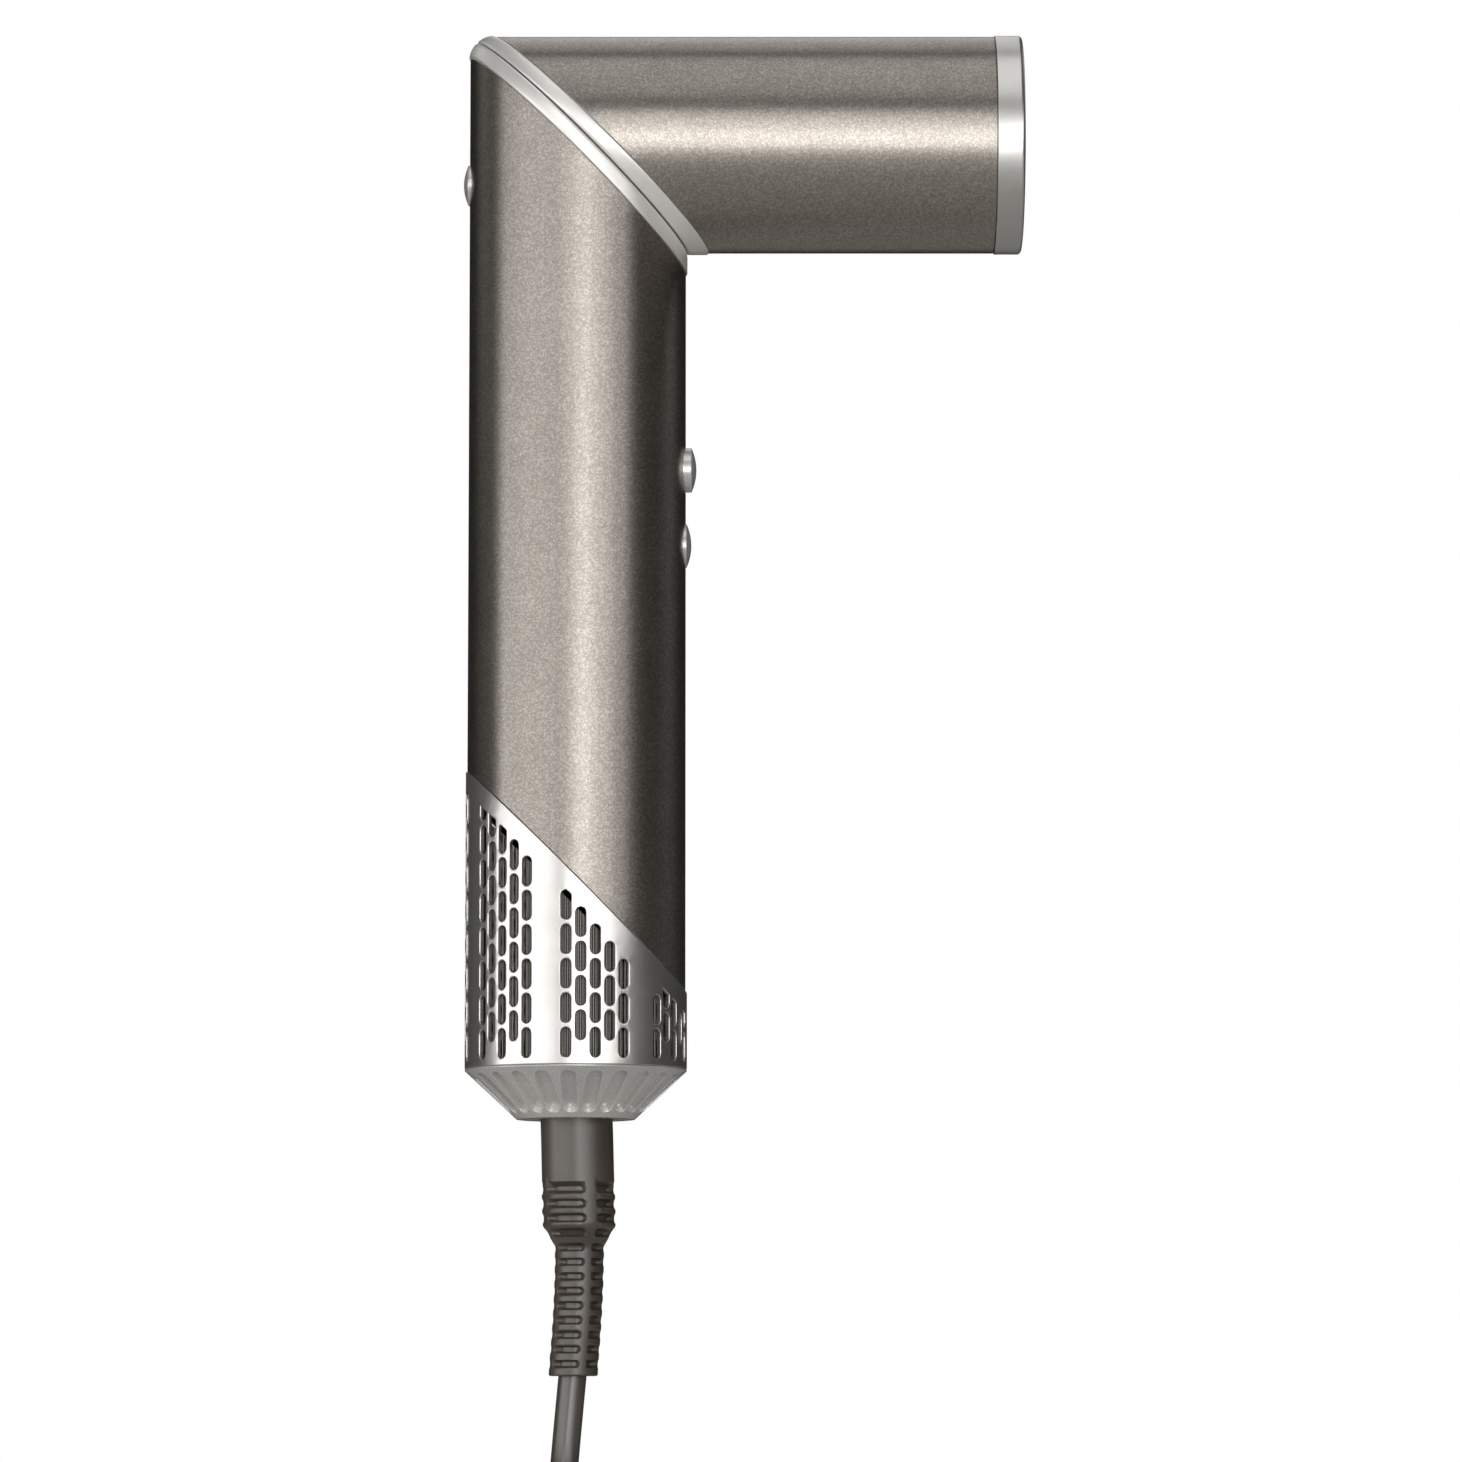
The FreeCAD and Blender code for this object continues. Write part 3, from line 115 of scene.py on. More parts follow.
def cordRoute():
    c, t = cordSet, cordSet["turn"]
    pitch, layer = c["layer"], 0.0
    y, foremost, foldedBack = c["foremost"], c["foremost"], c["foldedBack"]

    def waist(side, start, stop, near, far, steps):
        return arcRun((side * c["waistCentre"], 0), c["waistRadius"] - layer, start, stop, steps, near, far)

    def end(side, start, stop, near, far, steps):
        return arcRun((0, side * c["endCentre"]), c["endRadius"] + layer, start, stop, steps, near, far)

    top = reliefEnd.z / mm - hankMid.z / mm
    run = [(x, depth, top - drop) for x, depth, drop in c["feed"]] + [(c["feedAcross"], y, c["feedInto"])]
    run += waist(-1, 0, -t, y, y, 2)
    for turn in range(c["innerTurns"]):
        run += end(-1, 180 - t, 360 + t, y, y + pitch, 10)
        y += pitch
        run += waist(1, 180 + t, 180 - t, y, y, 4)
        if turn < c["innerTurns"] - 1:
            run += end(1, -t, 180 + t, y, y, 10)
            run += waist(-1, t, -t, y, y, 4)
    # the last upper end widens by one cord, on to the outer layer
    for i, control in enumerate(arcRun((0, c["endCentre"]), 1.0, -t, 180 + t, 10, y, y)):
        size = c["endRadius"] + pitch * (i + 0.5) / 10
        run.append((control[0] * size, y, c["endCentre"] + (control[2] - c["endCentre"]) * size))
    layer = pitch
    for turn in range(c["outerTurns"]):
        run += waist(-1, t, -t, y, y, 4)
        run += end(-1, 180 - t, 360 + t, y, y - pitch, 10)
        y -= pitch
        run += waist(1, 180 + t, 180 - t, y, y, 4)
        if turn < c["outerTurns"] - 1:
            run += end(1, -t, 180 + t, y, y, 10)
    # back to the front over the top, then down and round into the plug
    run += end(1, -t, c["backTurn"], y, y, 6) + end(1, c["backTurn"], 180 + t, y, foldedBack, 4)
    run += waist(-1, t, 0, foldedBack, foremost, 2) + waist(-1, 0, -t, foremost, foremost, 2)
    run += end(-1, 180 - t, 225, foremost, foremost, 4)
    run += arcRun((c["plugAcross"] - c["plugBend"], c["plugBendDown"]), c["plugBend"], 45, 0, 3, foremost, foremost)
    run += [(c["plugAcross"], foremost, height) for height in c["plugFeed"]]
    return [hankMid + Vector(control) * mm for control in run]


route = cordRoute()
curve = bpy.data.curves.new("mainsCord", "CURVE")
curve.dimensions = "3D"
curve.bevel_depth = cordSet["diameter"] / 2 * mm
curve.bevel_resolution = 6
curve.resolution_u = 5
curve.use_fill_caps = True
spline = curve.splines.new("NURBS")
spline.points.add(len(route) - 1)
for control, spot in zip(spline.points, route):
    control.co = (*spot, 1.0)
spline.order_u = 3
spline.use_endpoint_u = True
spline.use_smooth = True
mainsCord = bpy.data.objects.new("mainsCord", curve)
bpy.context.scene.collection.objects.link(mainsCord)
print("cord laid with", len(route), "controls")


def linear(code):
    # sRGB hex colour to the linear values that shaders take
    parts = [int(code[i:i + 2], 16) / 255 for i in (1, 3, 5)]
    return [part / 12.92 if part <= 0.04045 else ((part + 0.055) / 1.055) ** 2.4 for part in parts] + [1.0]


def addNode(tree, kind, settings=None, **links):
    # settings go to the node's own properties or to its sockets; a link is socket=(node, output)
    item = tree.nodes.new(kind)
    for name, amount in (settings or {}).items():
        if hasattr(item, name):
            setattr(item, name, amount)
        else:
            item.inputs[name].default_value = amount
    for name, (source, output) in links.items():
        socket = item.inputs[int(name[2:])] if name.startswith("at") else item.inputs[name.replace("_", " ")]
        tree.links.new(source.outputs[output], socket)
    return item


def newMaterial(name, **surface):
    material = bpy.data.materials.new(name)
    material.use_nodes = True
    tree = material.node_tree
    shader = tree.nodes["Principled BSDF"]
    for socket, amount in surface.items():
        shader.inputs[socket.replace("_", " ")].default_value = amount
    place = addNode(tree, "ShaderNodeTexCoord")
    return material, tree, shader, place


def ramp(tree, source, output, stops):
    # stops are (place, colour code or grey number)
    item = addNode(tree, "ShaderNodeValToRGB", Fac=(source, output))
    while len(item.color_ramp.elements) < len(stops):
        item.color_ramp.elements.new(0.5)
    for element, (at, colour) in zip(item.color_ramp.elements, stops):
        element.position = at
        element.color = linear(colour) if isinstance(colour, str) else (colour, colour, colour, 1)
    return item


paintSet = {"colour": "#a9a29a", "dark": "#98918a", "bright": "#cbc4bc", "metallic": 1.0, "roughness": 0.4,
            "flake": 0.28, "cloud": 6.0, "coat": 0.06, "coatRoughness": 0.12, "stretch": 0.75}


def metallicPaint(name, axis):
    # ABS sprayed with fine aluminium flake paint and buffed round the tube: a satin highlight that runs
    # on along the tube, falls off fast across it and glitters in grains of a quarter of a millimetre
    material, tree, shader, place = newMaterial(
        name, Metallic=paintSet["metallic"], Coat_Weight=paintSet["coat"], Coat_Roughness=paintSet["coatRoughness"],
        Anisotropic=paintSet["stretch"], Anisotropic_Rotation=0.25)
    around = addNode(tree, "ShaderNodeTangent", {"direction_type": "RADIAL", "axis": axis})
    tree.links.new(around.outputs["Tangent"], shader.inputs["Tangent"])
    flakes = addNode(tree, "ShaderNodeTexVoronoi", {"feature": "F1", "Scale": 1 / (paintSet["flake"] * mm)},
                     Vector=(place, "Object"))
    cloud = addNode(tree, "ShaderNodeTexNoise", {"Scale": 1 / (paintSet["cloud"] * mm), "Detail": 3.0},
                    Vector=(place, "Object"))
    tone = ramp(tree, flakes, "Color",
                [(0.0, paintSet["dark"]), (0.5, paintSet["colour"]), (1.0, paintSet["bright"])])
    tree.links.new(tone.outputs["Color"], shader.inputs["Base Color"])
    rough = addNode(tree, "ShaderNodeMapRange", {"To Min": paintSet["roughness"] - 0.03,
                                                "To Max": paintSet["roughness"] + 0.05}, Value=(cloud, "Fac"))
    tree.links.new(rough.outputs["Result"], shader.inputs["Roughness"])
    relief = addNode(tree, "ShaderNodeBump", {"Strength": 0.05, "Distance": 0.02 * mm}, Height=(flakes, "Color"))
    tree.links.new(relief.outputs["Normal"], shader.inputs["Normal"])
    return material


silverSet = {"colour": "#d6d4d1", "dark": "#cbc9c5", "roughness": 0.33, "grain": 0.12, "cloud": 9.0}


def satinSilver(name="SatinAnodisedAluminium", roughness=None, colour=None, dark=None, metallic=1.0):
    # aluminium, finely blasted and clear anodised: bright, with a short soft blur to what it mirrors. A plated
    # or lacquered part has the same grain under a milky clear coat, so it is less metallic.
    level = roughness or silverSet["roughness"]
    material, tree, shader, place = newMaterial(name, Metallic=metallic)
    grain = addNode(tree, "ShaderNodeTexNoise", {"Scale": 1 / (silverSet["grain"] * mm), "Detail": 2.0},
                    Vector=(place, "Object"))
    cloud = addNode(tree, "ShaderNodeTexNoise", {"Scale": 1 / (silverSet["cloud"] * mm), "Detail": 4.0},
                    Vector=(place, "Object"))
    tone = ramp(tree, cloud, "Fac", [(0.3, dark or silverSet["dark"]), (0.7, colour or silverSet["colour"])])
    tree.links.new(tone.outputs["Color"], shader.inputs["Base Color"])
    rough = addNode(tree, "ShaderNodeMapRange", {"To Min": level - 0.03, "To Max": level + 0.04},
                    Value=(grain, "Fac"))
    tree.links.new(rough.outputs["Result"], shader.inputs["Roughness"])
    relief = addNode(tree, "ShaderNodeBump", {"Strength": 0.08, "Distance": 0.01 * mm}, Height=(grain, "Fac"))
    tree.links.new(relief.outputs["Normal"], shader.inputs["Normal"])
    return material


rubberSet = {"colour": "#504840", "dark": "#413a33", "roughness": 0.4, "grain": 0.3, "cloud": 12.0}


def mouldedRubber(name="MouldedThermoplasticRubber", colour=None, dark=None, roughness=None, relief=0.55, gloss=0.5):
    # soft elastomer from a spark eroded mould: a fine pebble that breaks the highlight up
    level = roughness or rubberSet["roughness"]
    material, tree, shader, place = newMaterial(name, Metallic=0.0, Specular_IOR_Level=gloss)
    grain = addNode(tree, "ShaderNodeTexNoise", {"Scale": 1 / (rubberSet["grain"] * mm), "Detail": 3.0},
                    Vector=(place, "Object"))
    cloud = addNode(tree, "ShaderNodeTexNoise", {"Scale": 1 / (rubberSet["cloud"] * mm), "Detail": 4.0},
                    Vector=(place, "Object"))
    tone = ramp(tree, cloud, "Fac", [(0.3, dark or rubberSet["dark"]), (0.7, colour or rubberSet["colour"])])
    tree.links.new(tone.outputs["Color"], shader.inputs["Base Color"])
    rough = addNode(tree, "ShaderNodeMapRange", {"To Min": level - 0.06, "To Max": level + 0.08},
                    Value=(grain, "Fac"))
    tree.links.new(rough.outputs["Result"], shader.inputs["Roughness"])
    bump = addNode(tree, "ShaderNodeBump", {"Strength": relief, "Distance": 0.03 * mm}, Height=(grain, "Fac"))
    tree.links.new(bump.outputs["Normal"], shader.inputs["Normal"])
    return material


def metalFinish(name, colour, dark, roughness):
    # a plain worked metal: the same fine grain in the metal's own colour
    return satinSilver(name, roughness, colour, dark)


def wovenMetal(name, pitch, bright, dark):
    # fine wire woven square: bright wires, with painted shade in the gaps between them where the light falls
    # through. A wave repeats every
    # 2 pi / 20 of a unit at scale 1, so the scale gives one wire for each pitch.
    material, tree, shader, place = newMaterial(name, Metallic=1.0, Roughness=0.35)
    waves = [addNode(tree, "ShaderNodeTexWave", {"wave_type": "BANDS", "bands_direction": axis,
                                                 "Scale": 2 * math.pi / (20 * pitch * mm), "Distortion": 0.0},
                     Vector=(place, "Object")) for axis in ("Z", "X")]
    both = addNode(tree, "ShaderNodeMath", {"operation": "MAXIMUM"}, at0=(waves[0], "Fac"), at1=(waves[1], "Fac"))
    # the dark end of the ramp is painted shade in the gaps between the wires
    tone = ramp(tree, both, "Value", [(0.35, dark), (0.8, bright)])
    tree.links.new(tone.outputs["Color"], shader.inputs["Base Color"])
    relief = addNode(tree, "ShaderNodeBump", {"Strength": 0.5, "Distance": 0.05 * mm}, Height=(both, "Value"))
    tree.links.new(relief.outputs["Normal"], shader.inputs["Normal"])
    return material


handlePaint = metallicPaint("BuffedMetallicPaintOnHandle", "Z")
headPaint = metallicPaint("BuffedMetallicPaintOnHead", "X")
silver = satinSilver(metallic=0.92)  # bright, mirrors softly
ringSilver = satinSilver("SatinSilverLacquerOnDieCast", 0.36, "#eceae6", "#e2dfdb", 0.45)  # pale and milky
plated = satinSilver("SatinSilverPlatedAbs", 0.26, metallic=0.5)  # thin plating: sharper, half milky
rubber = mouldedRubber(gloss=0.9)
cordPvc = mouldedRubber("ExtrudedFlexiblePvc", "#55504a", "#494540", 0.33, 0.12, 0.9)  # drawn: smooth, glossy
nylon = mouldedRubber("MouldedGlassFilledNylon", "#262524", "#1c1b1b", 0.42, 0.3)  # near black, fibres dull it
tieStrap = mouldedRubber("MouldedSiliconeStrap", "#2b2a29", "#222120", 0.55, 0.2)  # matt and nearly smooth
# the gap colour is painted shade in the openings between the wires, the wire colour is the metal's own
weaveSet = {"pitch": 0.25, "wire": "#77746f", "gap": "#1e1d1b"}
wovenSteel = wovenMetal("WovenStainlessWire", weaveSet["pitch"], weaveSet["wire"], weaveSet["gap"])
brassPlated = metalFinish("NickelPlatedBrassStamping", "#c9c2b0", "#b3aa95", 0.25)  # warm, sharp highlight
materialOfSlot = {
    "satin_grey_paint": handlePaint, "satin_silver": silver, "silver_plated_abs": plated, "dark_rubber": rubber,
    "cord_pvc": cordPvc, "black_nylon": nylon, "steel_mesh": wovenSteel,
    "spring_steel": metalFinish("GroundSpringSteel", "#8f8e8c", "#7c7b79", 0.3),  # grey, narrow highlight
    "motor_steel": metalFinish("ZincPlatedDrawnSteel", "#a2a3a3", "#8b8d8f", 0.35),  # cold and bluish
    "ferrite": mouldedRubber("SinteredFerrite", "#2f2f31", "#242426", 0.6, 0.3),  # dull charcoal
    "bronze": metalFinish("SinteredOiledBronze", "#a87a45", "#8b6236", 0.42),  # brown, dulled by its pores
    "copper_wire": metalFinish("EnamelledCopperWinding", "#b5622f", "#8f4a22", 0.3),  # red under clear enamel
    "carbon": mouldedRubber("PressedCarbonBrush", "#1f1f20", "#171718", 0.5, 0.4),  # black, a little greasy
    "mica": mouldedRubber("PressedMicaSheet", "#b8ad95", "#a3977d", 0.45, 0.5),  # sandy, flaky
    "heating_wire": metalFinish("OxidisedNickelChromiumWire", "#5b5652", "#433f3c", 0.45),  # burnt grey
    "circuit_laminate": mouldedRubber("GlassEpoxyWithSolderMask", "#1d4a2c", "#173d24", 0.3, 0.15),  # glossy green
    "plug_brass": brassPlated, "tie_strap": tieStrap}
floorPaint = mouldedRubber("PaleMattPaintedBoard", "#e2e0dd", "#dad8d5", 0.7, 0.1)  # pale, no shine
print("materials ready")


def finish(mesh, name, material, body, nodes=(), soft=40):
    item = bpy.data.objects.new(name, mesh)
    bpy.context.scene.collection.objects.link(item)
    mesh.materials.append(material)
    mesh.shade_smooth()
    mesh.set_sharp_from_angle(angle=math.radians(soft))
    weighted = item.modifiers.new("facesLeadTheShading", "WEIGHTED_NORMAL")
    weighted.keep_sharp = True
    weighted.weight = 80
    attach(item, body)
    if nodes:
        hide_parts(*nodes)
    return item


def bridge(bm, first, second, looped):
    # quads between two rows with the same number of points
    count = len(first)
    for i in range(count if looped else count - 1):
        j = (i + 1) % count
        bm.faces.new((first[i], first[j], second[j], second[i]))


def rimRun(bevel):
    # a quarter round from the skin into a hole: (widening, depth)
    turns = [math.radians(a) for a in (0, 30, 60, 90)]
    return [(bevel * (1 - math.sin(a)), bevel * (1 - math.cos(a))) for a in turns]


def edgeRun(bevel, wall):
    # from the skin over a rounded rim, through the wall and out over a second rim
    over = rimRun(bevel)
    return over + [(widen, wall - depth) for widen, depth in over[::-1]]


def recessRun(bevel, depth, fillet):
    # over a rounded rim and down into a blind recess with a rounded foot
    turns = [math.radians(a) for a in (0, 45, 90)]
    return rimRun(bevel) + [(-fillet * (1 - math.cos(a)), depth - fillet * (1 - math.sin(a))) for a in turns]


def sleeve(lift, girth, low, high, openings, throat, step, inset, tails=None):
    # Closed sleeve opened by round or long holes. lift turns (along the girth, along the axis, depth) into a
    # point. Without tails the wall gets an inner skin; tails are the rows that go on from its two ends.
    bm = bmesh.new()
    columns = math.ceil(girth / step[0])
    across = [girth * i / columns for i in range(columns + 1)]
    lowRow = [(u, low(u) + inset) for u in across]
    highRow = [(u, high(u) - inset) for u in across]
    seamRise = highRow[0][1] - lowRow[0][1]
    seamCount = max(1, round(seamRise / step[1]))
    seam = [lowRow[0][1] + seamRise * i / seamCount for i in range(1, seamCount)]
    spots = lowRow + [(girth, v) for v in seam] + highRow[::-1] + [(0.0, v) for v in seam[::-1]]
    loops = [list(range(len(spots)))]
    margin = step[0] * 0.3
    boxes = []
    for opening in openings:
        points = opening(throat[0][0])
        loops.append(list(range(len(spots), len(spots) + len(points))))
        spots += points
        us, vs = [p[0] for p in points], [p[1] for p in points]
        boxes.append((min(us) - margin, max(us) + margin, min(vs) - margin, max(vs) + margin))
    for (u, bottom), (_, top) in list(zip(lowRow, highRow))[1:-1]:
        near = [box for box in boxes if box[0] < u < box[1]]
        rows = max(1, round((top - bottom) / step[1]))
        for row in range(1, rows):
            v = bottom + (top - bottom) * row / rows
            if not any(box[2] < v < box[3] for box in near):
                spots.append((u, v))
    made = delaunay_2d_cdt([Vector(p) for p in spots], [], loops, 1, 1e-7)
    points, origins = made[0], made[3]
    faces = [face for face, owners in zip(made[2], made[5]) if list(owners) == [0]]
    placeOf = {source: number for number, sources in enumerate(origins) for source in sources}
    used = sorted({number for face in faces for number in face})

    def skin(depth, flip):
        corners = {number: bm.verts.new(lift(*points[number], depth)) for number in used}
        for face in faces:
            bm.faces.new([corners[number] for number in (face[::-1] if flip else face)])
        return corners

    outer = skin(0.0, False)
    inner = None if tails else skin(throat[-1][1], True)
    deeper = throat[1:] if tails else throat[1:-1]
    for opening, loop in zip(openings, loops[1:]):
        row = [outer[placeOf[number]] for number in loop]
        for grow, depth in deeper:
            below = [bm.verts.new(lift(u, v, depth)) for u, v in opening(grow)]
            bridge(bm, row, below, True)
            row = below
        if inner:
            bridge(bm, row, [inner[placeOf[number]] for number in loop], True)
        else:
            for i in range(len(row) // 2 - 1):
                bm.faces.new((row[i], row[i + 1], row[-2 - i], row[-1 - i]))
    ends = []
    count = len(across)
    for first, edge, rise in ((0, low, 1), (count + len(seam), high, -1)):
        numbers = [placeOf[first + i] for i in range(count)][::rise]
        row = [outer[number] for number in numbers]
        if tails:
            rows = [[tail(u) for u in across] for tail in tails[0 if rise == 1 else 1]]
        else:
            rows = [[lift(u, edge(u) + shift * rise, depth) for u in across] for shift, depth in throat[1:-1]]
        for ringSpots in rows:
            below = [bm.verts.new(spot) for spot in ringSpots]
            bridge(bm, row, below, False)
            row = below
        if inner:
            bridge(bm, row, [inner[number] for number in numbers], False)
        ends.append(row)
    if tails:
        for row in ends:
            bm.faces.new(row[:-1])
    return closed(bm)


def closed(bm):
    # welds the seams, turns every face outwards and gives the mesh
    bmesh.ops.remove_doubles(bm, verts=bm.verts, dist=0.002 * mm)
    bmesh.ops.dissolve_degenerate(bm, edges=bm.edges, dist=0.0005 * mm)
    bmesh.ops.recalc_face_normals(bm, faces=bm.faces)
    mesh = bpy.data.meshes.new("shape")
    bm.to_mesh(mesh)
    bm.free()
    return mesh


def roundedPath(corners, steps=4):
    # corners are (across, along, rounding); each rounded one becomes a short arc
    path = []
    for i, (x, y, rounding) in enumerate(corners):
        here = Vector((x, y))
        before, after = Vector(corners[i - 1][:2]), Vector(corners[(i + 1) % len(corners)][:2])
        if not rounding:
            path.append((x, y))
            continue
        back, ahead = (before - here).normalized(), (after - here).normalized()
        half = back.angle(ahead) / 2
        trim = rounding / math.tan(half)
        centre = here + (back + ahead).normalized() * (rounding / math.sin(half))
        start, stop = here + back * trim - centre, here + ahead * trim - centre
        sweep = start.angle_signed(stop)
        for step in range(steps + 1):
            turn = -sweep * step / steps
            c, s = math.cos(turn), math.sin(turn)
            path.append((centre.x + start.x * c - start.y * s, centre.y + start.x * s + start.y * c))
    return path


def lathe(path, base, axis, segments=96, bm=None):
    # path is (radius, height) pairs in millimetres; points on the axis become one point
    bm = bm or bmesh.new()
    axis = axis.normalized()
    zero = axis.orthogonal().normalized() if abs(axis.y) > 0.9 else axis.cross(front).normalized()
    cross = axis.cross(zero)
    rows = []
    for radius, height in path:
        centre = base + axis * (height * mm)
        rows.append([bm.verts.new(centre + (zero * math.cos(a) + cross * math.sin(a)) * (radius * mm))
                     for a in (2 * math.pi * i / segments for i in range(segments))])
    for first, second in zip(rows, rows[1:] + rows[:1]):
        bridge(bm, first, second, True)
    return bm


def tubeLift(radius, axis, cross, seam=0.0, low=None, high=None):
    # wall of a round tube about the pivot; a slanted end stays flat through the wall
    reach = 5 * mm

    def lift(u, v, depth):
        angle = math.radians(seam) + u / radius
        lean = 0.0
        if depth and high:
            lean += max(0.0, 1 - (high(u) - v) / reach)
        if depth and low:
            lean += max(0.0, 1 - (v - low(u)) / reach)
        shift = depth * math.sin(angle) * min(lean, 1.0)
        return pivot + axis * (v + shift) + (front * math.cos(angle) + cross * math.sin(angle)) * (radius - depth)
    return lift


def slant(level, radius, seam=0.0):
    # edge of a tube cut at 45 degrees, by its level on the axis
    return lambda u: level - radius * math.sin(math.radians(seam) + u / radius)


def roundHole(u, v, radius, tube, count=48):
    # a drilled hole seen on the unrolled wall
    def holeLine(grow):
        size = radius + grow
        return [(u + tube * math.asin(size * math.cos(a) / tube), v + size * math.sin(a))
                for a in (2 * math.pi * i / count for i in range(count))]
    return holeLine


def longHole(u, v, length, width, count=6, scale=None, ceiling=None):
    # a hole with round ends, upright on the wall; scale stretches it along the girth, ceiling trims its top
    def holeLine(grow):
        half, tip = width / 2 + grow, (length - width) / 2
        ring = []
        for side, start in ((1, 0.0), (-1, math.pi)):
            for i in range(count + 1):
                a = start + math.pi * i / count
                x, y = half * math.cos(a), v + side * tip + half * math.sin(a)
                x *= scale(y) if scale else 1.0
                ring.append((u + x, min(y, ceiling(u + x) + grow * math.sqrt(2)) if ceiling else y))
        return ring
    return holeLine


def roundedRectangle(width, depth, corner, steps=12):
    # rounded rectangle about the origin, as (x, y) pairs
    spots = []
    for i, (sx, sy) in enumerate(((1, 1), (-1, 1), (-1, -1), (1, -1))):
        for step in range(steps + 1):
            a = math.radians(90 * i + 90 * step / steps)
            spots.append((sx * (width / 2 - corner) + corner * math.cos(a),
                          sy * (depth / 2 - corner) + corner * math.sin(a)))
    return spots


def loft(rows, place, bm=None, ring=False):
    # rows are (height, width, depth, corner); ring joins the last row to the first
    bm = bm or bmesh.new()
    made = [[bm.verts.new(place + Vector((x, y, height)) * mm) for x, y in roundedRectangle(width, depth, corner)]
            for height, width, depth, corner in rows]
    for first, second in zip(made, made[1:] + (made[:1] if ring else [])):
        bridge(bm, first, second, True)
    if not ring:
        bm.faces.new(made[0])
        bm.faces.new(made[-1])
    return bm


# Handle and head casings: round tubes with a rounded rim at each end and at each button's hole. Steps are
# the mesh's spacing round and along the tube.
shellSet = {"wall": 1.8, "edge": 0.25, "step": (1.5, 3.0), "powerHole": 4.5, "modeHole": 4.45, "lockHole": 4.2}


def levelOf(height):
    return height - pivot.z


def tubeShell(name, body, node, axis, cross, seam, low, high, holes):
    wall, edge = shellSet["wall"] * mm, shellSet["edge"] * mm
    lift = tubeLift(tubeRadius, axis, cross, seam, low, high)
    openings = [roundHole(tubeRadius * math.radians(angle - seam), v, radius * mm, tubeRadius)
                for angle, v, radius in holes]
    mesh = sleeve(lift, 2 * math.pi * tubeRadius, low, high, openings, edgeRun(edge, wall),
                  [size * mm for size in shellSet["step"]], edge)
    return finish(mesh, name, handlePaint if body == "handle" else headPaint, body, (node,), 30)


def middleOf(node):
    low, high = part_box(node)
    return (low + high) / 2


def flatEdge(level):
    return lambda u: level


handleLow = slant(levelOf(handleBox[0].z) + tubeRadius, tubeRadius, -180)
handleHigh = slant(levelOf(handleBox[1].z) - tubeRadius, tubeRadius, -180)
tubeShell("handleShell", "handle", "handle_casing", up, right, -180, handleLow, handleHigh,
          [(90, levelOf(middleOf("power_button").z), shellSet["powerHole"]),
           (90, levelOf(middleOf("mode_button").z), shellSet["modeHole"]),
           (-90, levelOf(middleOf("lock_button").z), shellSet["lockHole"])])
headStart = slant(headBox[0].x + tubeRadius, tubeRadius, -180)
tubeShell("headShell", "head", "head_casing", right, up, -180, headStart, flatEdge(headBox[1].x), [])
print("tube shells made")

# Mitre rings: each is a collar along the slanted cut, rounded off at the elbow's outer corner. Rows are
# (height from the joint, inset of the skin).
ringSet = {"proud": 0.3, "corner": 5.0, "bore": 17.3, "segments": 192, "search": (5.0, 60.0),
           "rows": [(3.15, 0.55), (3.15, 0.3), (3.02, 0.08), (2.85, 0.0), (2.2, 0.0), (1.4, 0.0), (0.7, 0.0),
                    (0.42, 0.03), (0.24, 0.12), (0.15, 0.3), (0.15, 0.7)]}


def ringReach(angle, height, inset):
    # how far the ring's skin is from the twist axis, square to it, where the corner is rounded off
    outward = (up - right) * (math.cos(angle) / math.sqrt(2)) + front * math.sin(angle)
    rounding = max(0.05, ringSet["corner"] * max(0.0, math.cos(angle)) ** 1.5)
    size = tubeRadius / mm + ringSet["proud"] - inset

    def outside(reach):
        spot = outward * reach - twistAxis * height
        handleSide = math.hypot(spot.x, spot.y) - size
        if math.cos(angle) <= 0:
            return handleSide
        headSide = math.hypot(spot.z, spot.y) - size
        a, b = max(handleSide + rounding, 0.0), max(headSide + rounding, 0.0)
        return math.hypot(a, b) - rounding

    low, high = ringSet["search"]
    for _ in range(40):
        middle = (low + high) / 2
        low, high = (low, middle) if outside(middle) > 0 else (middle, high)
    return outward * low - twistAxis * height


def mitreRing(name, body, node, mirrored):
    bm = bmesh.new()
    angles = [2 * math.pi * i / ringSet["segments"] for i in range(ringSet["segments"])]
    rows = [[ringReach(a, height, inset) for a in angles] for height, inset in ringSet["rows"]]
    for height in (ringSet["rows"][-1][0], ringSet["rows"][0][0]):
        rows.append([((up - right) * (math.cos(a) / math.sqrt(2)) + front * math.sin(a)) * ringSet["bore"]
                     - twistAxis * height for a in angles])
    made = []
    for row in rows:
        if mirrored:
            row = [spot - twistAxis * (2 * spot.dot(twistAxis)) for spot in row]
        made.append([bm.verts.new(pivot + spot * mm) for spot in row])
    for first, second in zip(made, made[1:] + made[:1]):
        bridge(bm, first, second, True)
    return finish(closed(bm), name, ringSilver, body, (node,), 50)


mitreRing("handleMitreRing", "handle", "handle_mitre_ring", False)
mitreRing("headMitreRing", "head", "head_mitre_ring", True)
print("mitre rings made")

# Inlet cage: a thin metal sleeve with groups of staggered long slots; those near the slanted edge are cut short.
cageSet = {"wall": 1.0, "edge": 0.2, "step": (1.6, 3.0), "seam": 191.4, "slots": (7, 5), "slotAngle": 7.6,
           "slotPhase": 11.4, "slotWidth": 2.1, "slotLength": 5.8, "slotPitch": 6.65, "rimGap": 1.3, "cutGap": 3.2}
rim = cageBox[0].z
cageLow = flatEdge(levelOf(rim))
cageHigh = slant(levelOf(cageBox[1].z) - cageRadius, cageRadius, cageSet["seam"])


